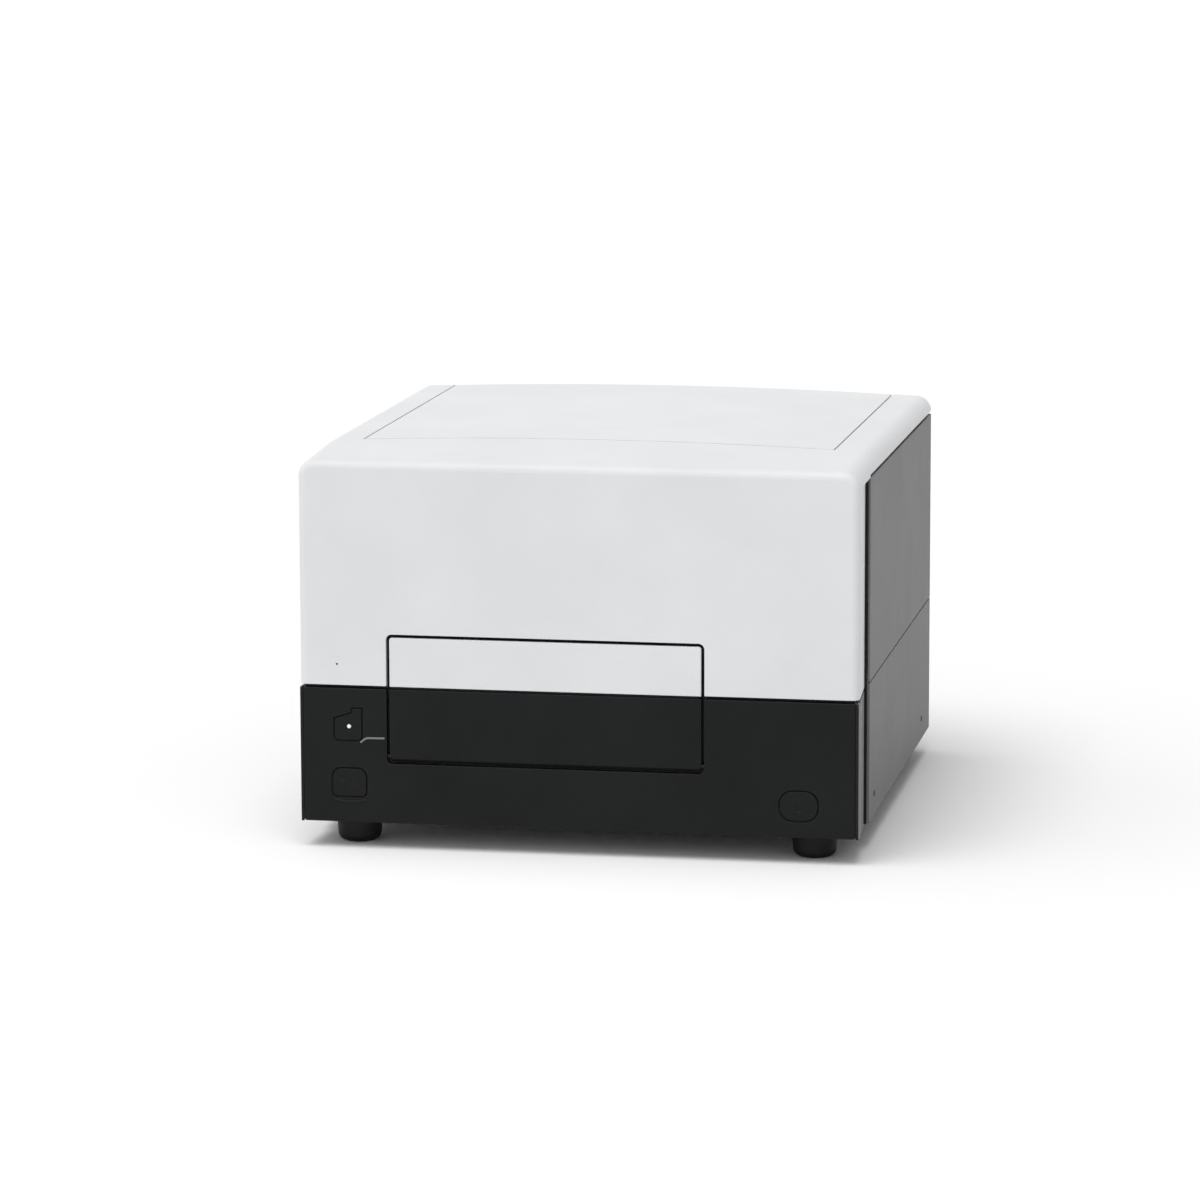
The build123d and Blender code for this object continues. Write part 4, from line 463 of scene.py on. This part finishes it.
# embossed marks on the push keys: in and out arrows on one, a broken ring and bar on the other
keyMarks = {
    "width": 0.9, "rise": 0.35, "steps": 4, "root": 0.2, "arrow": 3.4, "arrowWide": 0.87,
    "arrowGap": 5.2, "ring": 4.6, "ringSteps": 32, "opening": 34, "bar": (0.6, 2.6, 4.2, 5.6),
}


# a flat outline raised from a face that looks forwards
def raisedOutline(outline, y, rise):
    count = len(outline)
    points = [(x, y + keyMarks["root"], z) for x, z in outline] + [(x, y - rise, z) for x, z in outline]
    faces = [(i, (i + 1) % count, (i + 1) % count + count, i + count) for i in range(count)]
    return points, faces + [tuple(range(count)), tuple(range(count, 2 * count))]


# the front face of a key and its middle
def keyFace(node):
    low, high = boxMm(node)
    return low[1], (low[0] + high[0]) / 2, (low[2] + high[2]) / 2


def makePlateMark():
    face, middleX, middleZ = keyFace("plate_button")
    shapes = []
    for side in (-1, 1):
        x = middleX + side * keyMarks["arrowGap"]
        tall = keyMarks["arrow"] * side
        wide = keyMarks["arrow"] * keyMarks["arrowWide"]
        outline = [(x - wide, middleZ - tall / 2), (x + wide, middleZ - tall / 2), (x, middleZ + tall)]
        shapes.append(raisedOutline(outline, face, keyMarks["rise"]))
    points, faces = joinShapes(shapes)
    meshPiece("plate_key_mark", points, faces, "charcoalAbs", "plate_key")


def makePowerMark():
    face, middleX, middleZ = keyFace("power_button")
    opening, radius = radians(keyMarks["opening"]), keyMarks["ring"]
    ring = []
    for step in range(keyMarks["ringSteps"] + 1):
        turn = pi / 2 + opening + (2 * pi - 2 * opening) * step / keyMarks["ringSteps"]
        ring.append((middleX + radius * cos(turn), face, middleZ + radius * sin(turn)))
    outline = beadOutline(keyMarks)
    bar = [(middleX, face, middleZ + z) for z in keyMarks["bar"]]
    points, faces = joinShapes([sweptShape(ring, outline, (0, -1, 0)), sweptShape(bar, outline, (0, -1, 0))])
    meshPiece("power_key_mark", points, faces, "charcoalAbs", "power_key")


# dark collar that seats the light pipe in the dished key
ledCollar = {
    "inner": 1.72, "outer": 2.7, "rise": 0.35, "crown": 0.12, "crownIn": 0.25, "slopeIn": 0.3,
    "slopeDown": 0.05, "root": 0.1, "dishDepth": 0.7, "steps": 40,
}


def makeLedCollar():
    low, high = boxMm("status_led")
    x, z = (low[0] + high[0]) / 2, (low[2] + high[2]) / 2
    floorY = boxMm("status_button")[0][1] + ledCollar["dishDepth"]
    inner, outer, rise = ledCollar["inner"], ledCollar["outer"], ledCollar["rise"]
    rings = ((inner, ledCollar["root"]), (inner, -rise),
             (inner + ledCollar["crownIn"], -rise - ledCollar["crown"]),
             (outer - ledCollar["slopeIn"], -rise + ledCollar["slopeDown"]),
             (outer, ledCollar["root"]))
    points, faces = [], []
    steps = ledCollar["steps"]
    for step in range(steps):
        turn = 2 * pi * step / steps
        for radius, rise in rings:
            points.append((x + radius * cos(turn), floorY + rise, z + radius * sin(turn)))
    count = len(rings)
    for step in range(steps):
        after = (step + 1) % steps
        for index in range(count):
            follow = (index + 1) % count
            faces.append((step * count + index, step * count + follow,
                          after * count + follow, after * count + index))
    meshPiece("led_collar", points, faces, "blackAbs", "status_key")


makeSeamShadeSheet()
makePanelEdgeShade()
makeKeyPointer()
makeThumbRest()
makePlateMark()
makePowerMark()
makeLedCollar()
print("stage: front details")

# runs a node tree with named inputs once on a holder and keeps the result as a plain mesh
def growPiece(name, sizes, build, finish, body, seats=()):
    tree = bpy.data.node_groups.new(name + " tree", "GeometryNodeTree")
    kinds = {float: "NodeSocketFloat", int: "NodeSocketInt", tuple: "NodeSocketVector"}
    tree.interface.new_socket("Geometry", in_out="INPUT", socket_type="NodeSocketGeometry")
    for label, value in sizes.items():
        tree.interface.new_socket(label, in_out="INPUT", socket_type=kinds[type(value)])
    tree.interface.new_socket("Finish", in_out="INPUT", socket_type="NodeSocketMaterial")
    tree.interface.new_socket("Geometry", in_out="OUTPUT", socket_type="NodeSocketGeometry")
    given = addNode(tree, "NodeGroupInput").outputs
    shape = build(tree, given)
    real = addNode(tree, "GeometryNodeRealizeInstances", None, {"Geometry": shape})
    painted = addNode(tree, "GeometryNodeSetMaterial", None,
                      {"Geometry": real.outputs["Geometry"], "Material": given["Finish"]})
    addNode(tree, "NodeGroupOutput", None, {"Geometry": painted.outputs["Geometry"]})
    seatMesh = bpy.data.meshes.new(name + " seats")
    seatMesh.from_pydata([tuple(v * mm for v in seat) for seat in seats], [], [])
    piece = bpy.data.objects.new(name, seatMesh)
    bpy.context.scene.collection.objects.link(piece)
    grow = piece.modifiers.new("grow", "NODES")
    grow.node_group = tree
    for item in tree.interface.items_tree:
        if item.in_out == "INPUT" and item.name in sizes:
            grow[item.identifier] = sizes[item.name]
        elif item.name == "Finish":
            grow[item.identifier] = finishes[finish]
    ready = piece.evaluated_get(bpy.context.evaluated_depsgraph_get())
    mesh = bpy.data.meshes.new_from_object(ready)
    piece.modifiers.remove(grow)
    mesh.name = name
    piece.data = mesh
    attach(piece, body)
    return piece


# moves and turns what a tree has made
def placeShape(tree, shape, move, turn=(0.0, 0.0, 0.0)):
    return addNode(tree, "GeometryNodeTransform", {"Rotation": turn},
                   {"Geometry": shape, "Translation": move}).outputs["Geometry"]


# several shapes of one tree as one
def joinParts(tree, parts):
    joined = addNode(tree, "GeometryNodeJoinGeometry")
    for part in parts:
        tree.links.new(part, joined.inputs["Geometry"])
    return joined.outputs["Geometry"]


# belt teeth on the inner face of both straight runs, clear of clamp and pulleys
beltTeeth = {
    "Tooth": (9.0 * mm, 1.5 * mm, 0.75 * mm), "Step": (0.0, 3.142 * mm, 0.0),
    "Lower Start": (67.4 * mm, -158.0 * mm, 77.0 * mm), "Lower Count": 89,
    "Upper Start": (67.4 * mm, 90.0 * mm, 93.0 * mm), "Upper Count": 10,
}


def buildTeeth(tree, given):
    tooth = addNode(tree, "GeometryNodeMeshCube", None, {"Size": given["Tooth"]})
    runs = []
    for run in ("Lower", "Upper"):
        seats = addNode(tree, "GeometryNodeMeshLine", None,
                        {"Count": given[run + " Count"], "Start Location": given[run + " Start"],
                         "Offset": given["Step"]}, mode="OFFSET")
        row = addNode(tree, "GeometryNodeInstanceOnPoints", None,
                      {"Points": seats.outputs["Mesh"], "Instance": tooth.outputs["Mesh"]})
        runs.append(row.outputs["Instances"])
    return joinParts(tree, runs)


# cap screws: a turned head with a hexagon socket cut into it, one at each seat
def buildCapScrews(tree, given):
    head = addNode(tree, "GeometryNodeMeshCylinder", {"Vertices": 36},
                   {"Radius": given["Head Radius"], "Depth": given["Head Height"]})
    key = addNode(tree, "GeometryNodeMeshCylinder", {"Vertices": 6},
                  {"Radius": given["Socket Radius"], "Depth": given["Head Height"]})
    raisedKey = placeShape(tree, key.outputs["Mesh"], given["Socket Lift"])
    cut = addNode(tree, "GeometryNodeMeshBoolean", None,
                  {0: head.outputs["Mesh"], 1: raisedKey}, operation="DIFFERENCE")
    seated = placeShape(tree, cut.outputs["Mesh"], given["Head Lift"])
    turned = addNode(tree, "FunctionNodeEulerToRotation", None, {"Euler": given["Facing"]})
    return addNode(tree, "GeometryNodeInstanceOnPoints", None,
                   {"Points": given["Geometry"], "Instance": seated,
                    "Rotation": turned.outputs["Rotation"]}).outputs["Instances"]


opticsScrews = {
    "Head Radius": 3.5 * mm, "Head Height": 4.0 * mm, "Head Lift": (0.0, 0.0, 2.0 * mm),
    "Socket Radius": 1.73 * mm, "Socket Lift": (0.0, 0.0, 2.0 * mm), "Facing": (0.0, 0.0, 0.0),
}
fanScrews = {
    "Head Radius": 3.3 * mm, "Head Height": 3.2 * mm, "Head Lift": (0.0, 0.0, 1.6 * mm),
    "Socket Radius": 1.45 * mm, "Socket Lift": (0.0, 0.0, 1.7 * mm), "Facing": (radians(-90), 0.0, 0.0),
}

# low black heads that hold the tray's sides, over the ends of the side screws
sideScrews = {
    "Head Radius": 2.3 * mm, "Head Height": 0.7 * mm, "Head Lift": (0.0, 0.0, 0.35 * mm),
    "Socket Radius": 1.0 * mm, "Socket Lift": (0.0, 0.0, 0.4 * mm), "Facing": (0.0, radians(90), 0.0),
}
leftScrews = {**sideScrews, "Facing": (0.0, radians(-90), 0.0)}
screwSeats = {
    "sideY": (-127.5, 165.5), "sideZ": 37.0, "sideSink": 0.2,
    "lidInset": 10.0, "postRadius": 7.0, "fanSpacing": 71.5,
}


def sideSeats(sign):
    face = trayHigh[0] - screwSeats["sideSink"]
    return [(sign * face, y, screwSeats["sideZ"]) for y in screwSeats["sideY"]]


# the four corners of a box, drawn in by an inset, at a given height
def cornerSeats(node, inset, height):
    low, high = boxMm(node)
    return [(x, y, height) for x in (low[0] + inset, high[0] - inset)
            for y in (low[1] + inset, high[1] - inset)]


def opticsSeats():
    seats = []
    for node in ("excitation_monochromator", "emission_monochromator"):
        seats += cornerSeats(node, screwSeats["lidInset"], boxMm(node)[1][2])
    return seats + cornerSeats("bridge_posts", screwSeats["postRadius"], boxMm("optics_bridge")[1][2])


def fanSeats():
    low, high = boxMm("fan_housing")
    x, z = (low[0] + high[0]) / 2, (low[2] + high[2]) / 2
    face, reach = boxMm("rear_panel")[1][1], screwSeats["fanSpacing"] / 2
    return [(x + a, face, z + b) for a in (-reach, reach) for b in (-reach, reach)]


# welded wire mesh behind the air slots: it keeps fingers and fluff out
ventMesh = {
    "Width": 98.0 * mm, "Height": 99.0 * mm, "Columns": 34, "Rows": 34, "Wire Radius": 0.32 * mm,
    "Place": (-110.0 * mm, 212.15 * mm, 212.0 * mm),
}


def buildVentMesh(tree, given):
    lattice = addNode(tree, "GeometryNodeMeshGrid", None,
                      {"Size X": given["Width"], "Size Y": given["Height"],
                       "Vertices X": given["Columns"], "Vertices Y": given["Rows"]})
    wires = addNode(tree, "GeometryNodeMeshToCurve", None, {"Mesh": lattice.outputs["Mesh"]})
    section = addNode(tree, "GeometryNodeCurvePrimitiveCircle", {"Resolution": 6},
                      {"Radius": given["Wire Radius"]})
    drawn = addNode(tree, "GeometryNodeCurveToMesh", {"Fill Caps": True},
                    {"Curve": wires.outputs["Curve"], "Profile Curve": section.outputs["Curve"]})
    return placeShape(tree, drawn.outputs["Mesh"], given["Place"], (radians(90), 0.0, 0.0))


# small surface-mount parts strewn over the board between its larger chips
boardParts = {
    "Width": 112.0 * mm, "Height": 122.0 * mm, "Spacing": 5.5 * mm, "Density": 60000.0, "Seed": 7,
    "Smallest": (1.6, 0.8, 0.9), "Largest": (4.6, 2.4, 2.2), "Unit": (mm, mm, mm),
    "Place": (5.0 * mm, 190.5 * mm, 177.0 * mm),
}


def buildBoardParts(tree, given):
    sheet = addNode(tree, "GeometryNodeMeshGrid", {"Vertices X": 2, "Vertices Y": 2},
                    {"Size X": given["Width"], "Size Y": given["Height"]})
    spots = addNode(tree, "GeometryNodeDistributePointsOnFaces", None,
                    {"Mesh": sheet.outputs["Mesh"], "Distance Min": given["Spacing"],
                     "Density Max": given["Density"], "Seed": given["Seed"]},
                    distribute_method="POISSON")
    part = addNode(tree, "GeometryNodeMeshCube", None, {"Size": given["Unit"]})
    sizes = addNode(tree, "FunctionNodeRandomValue", None,
                    {0: given["Smallest"], 1: given["Largest"], "Seed": given["Seed"]},
                    data_type="FLOAT_VECTOR")
    strewn = addNode(tree, "GeometryNodeInstanceOnPoints", None,
                     {"Points": spots.outputs["Points"], "Instance": part.outputs["Mesh"],
                      "Scale": sizes.outputs[0]})
    return placeShape(tree, strewn.outputs["Instances"], given["Place"], (radians(90), 0.0, 0.0))


# two-start rolled thread wound on a core, in the place of the plain screw
screwLow, screwHigh = boxMm("scan_screw")
screwLength = screwHigh[0] - screwLow[0]
screwLead = 20.0
threadLength = screwLength * 0.985
scanThread = {
    "Core Radius": 3.3 * mm, "Length": screwLength * mm, "Helix Radius": 3.32 * mm,
    "Turns": threadLength / screwLead, "Ridge": 0.62 * mm, "Rise": threadLength * mm,
    "Start": (0.0, 0.0, -threadLength / 2 * mm),
    "Place": tuple((a + b) / 2 * mm for a, b in zip(screwLow, screwHigh)),
}


def buildThread(tree, given):
    core = addNode(tree, "GeometryNodeMeshCylinder", {"Vertices": 32},
                   {"Radius": given["Core Radius"], "Depth": given["Length"]})
    helix = addNode(tree, "GeometryNodeCurveSpiral", {"Resolution": 28},
                    {"Rotations": given["Turns"], "Start Radius": given["Helix Radius"],
                     "End Radius": given["Helix Radius"], "Height": given["Rise"]})
    section = addNode(tree, "GeometryNodeCurvePrimitiveCircle", {"Resolution": 8},
                      {"Radius": given["Ridge"]})
    ridge = addNode(tree, "GeometryNodeCurveToMesh", {"Fill Caps": True},
                    {"Curve": helix.outputs["Curve"], "Profile Curve": section.outputs["Curve"]})
    first = placeShape(tree, ridge.outputs["Mesh"], given["Start"])
    second = placeShape(tree, ridge.outputs["Mesh"], given["Start"], (0.0, 0.0, radians(180)))
    whole = joinParts(tree, [core.outputs["Mesh"], first, second])
    return placeShape(tree, whole, given["Place"], (0.0, radians(90), 0.0))


for name, sizes, build, finish, slotName, seats in (
        ("belt_teeth", beltTeeth, buildTeeth, "footRubber", "rubber", ()),
        ("optics_screws", opticsScrews, buildCapScrews, "blackOxide", "dark_anodised", opticsSeats()),
        ("fan_screws", fanScrews, buildCapScrews, "zincSteel", "steel", fanSeats()),
        ("side_screws_right", sideScrews, buildCapScrews, "blackOxide", "steel", sideSeats(1)),
        ("side_screws_left", leftScrews, buildCapScrews, "blackOxide", "steel", sideSeats(-1)),
        ("vent_mesh", ventMesh, buildVentMesh, "zincSteel", "steel", ()),
        ("board_parts", boardParts, buildBoardParts, "blackAbs", "black_plastic", ())):
    growPiece(name, sizes, build, finish, "housing", seats)
thread = growPiece("scan_thread", scanThread, buildThread, "groundSteel", "scan_drive")
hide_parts("scan_screw")
print("stage: grown pieces")


# floor and light: a broad sun stands for the ceiling softbox, the sky for the room,
# brighter in front and on the left than behind and on the right
studio = {
    "floorHalf": 60.0,
    "floorTone": "#FBFBFB",
    "sunPower": 1.58,
    "sunAngle": 45.0,
    "sunFromLeft": 20.0,
    "sunRise": 72.0,
    "skyMiddle": 0.36,
    "skySlope": 0.47,
    "skyLeast": 0.04,
    "skyBright": (-0.62, -0.55, 0.56),
}


def makeFloor():
    mesh = bpy.data.meshes.new("floor")
    half = studio["floorHalf"]
    corners = [(-half, -half, 0), (half, -half, 0), (half, half, 0), (-half, half, 0)]
    mesh.from_pydata(corners, [], [(0, 1, 2, 3)])
    floor = bpy.data.objects.new("floor", mesh)
    bpy.context.scene.collection.objects.link(floor)
    material, tree = newMaterial("matt white paper")
    paper = addNode(tree, "ShaderNodeBsdfDiffuse", {"Color": linearColour(studio["floorTone"])})
    addNode(tree, "ShaderNodeOutputMaterial", None, {"Surface": paper.outputs["BSDF"]})
    mesh.materials.append(material)


def makeSun():
    lamp = bpy.data.lights.new("ceiling softbox", "SUN")
    lamp.energy = studio["sunPower"]
    lamp.angle = radians(studio["sunAngle"])
    holder = bpy.data.objects.new("ceiling softbox", lamp)
    left, rise = radians(studio["sunFromLeft"]), radians(studio["sunRise"])
    towards = Vector((sin(left) * cos(rise), cos(left) * cos(rise), -sin(rise)))
    holder.rotation_euler = towards.to_track_quat("-Z", "Y").to_euler()
    bpy.context.scene.collection.objects.link(holder)


def makeSky():
    world = bpy.data.worlds.new("studio")
    world.use_nodes = True
    tree = world.node_tree
    tree.nodes.clear()
    place = addNode(tree, "ShaderNodeTexCoord")
    across = addNode(tree, "ShaderNodeVectorMath", {1: studio["skyBright"]},
                     {0: place.outputs["Generated"]}, operation="DOT_PRODUCT")
    room = addNode(tree, "ShaderNodeMapRange",
                   {"From Min": -1.0, "From Max": 1.0,
                    "To Min": max(studio["skyLeast"], studio["skyMiddle"] - studio["skySlope"]),
                    "To Max": studio["skyMiddle"] + studio["skySlope"]},
                   {"Value": across.outputs["Value"]})
    light = addNode(tree, "ShaderNodeLightPath")
    seen = addNode(tree, "ShaderNodeMath", None,
                   {0: light.outputs["Is Camera Ray"], 1: light.outputs["Is Transmission Ray"]},
                   operation="MAXIMUM")
    mirrored = addNode(tree, "ShaderNodeMath", None,
                       {0: seen.outputs["Value"], 1: light.outputs["Is Glossy Ray"]}, operation="MAXIMUM")
    strength = addNode(tree, "ShaderNodeMapRange", {"To Max": 1.0},
                       {"Value": mirrored.outputs["Value"], "To Min": room.outputs["Result"]})
    sky = addNode(tree, "ShaderNodeBackground", {"Color": (1, 1, 1, 1)},
                  {"Strength": strength.outputs["Result"]})
    addNode(tree, "ShaderNodeOutputWorld", None, {"Surface": sky.outputs["Background"]})
    bpy.context.scene.world = world


makeFloor()
makeSun()
makeSky()
print("stage: floor and light")

# angles in degrees, place in metres, lens in millimetres
camera = {
    "yaw": 10.3,
    "pitch": 10.07,
    "roll": -0.19,
    "place": (0.7446, -4.2163, 0.918),
    "lens": 166.33,
}


def makeCamera():
    yaw, pitch, roll = (radians(camera[k]) for k in ("yaw", "pitch", "roll"))
    forward = Vector((-sin(yaw) * cos(pitch), cos(yaw) * cos(pitch), -sin(pitch)))
    level = Vector((cos(yaw), sin(yaw), 0))
    upright = level.cross(forward)
    right = cos(roll) * level + sin(roll) * upright
    up = cos(roll) * upright - sin(roll) * level
    turn = Matrix((right, up, -forward)).transposed().to_4x4()
    data = bpy.data.cameras.new("camera")
    data.lens = camera["lens"]
    data.sensor_width = 36.0
    data.clip_end = 200.0
    holder = bpy.data.objects.new("camera", data)
    holder.matrix_world = Matrix.Translation(camera["place"]) @ turn
    bpy.context.scene.collection.objects.link(holder)
    bpy.context.scene.camera = holder


makeCamera()
bpy.context.scene.view_settings.view_transform = "Standard"
print("stage: camera")
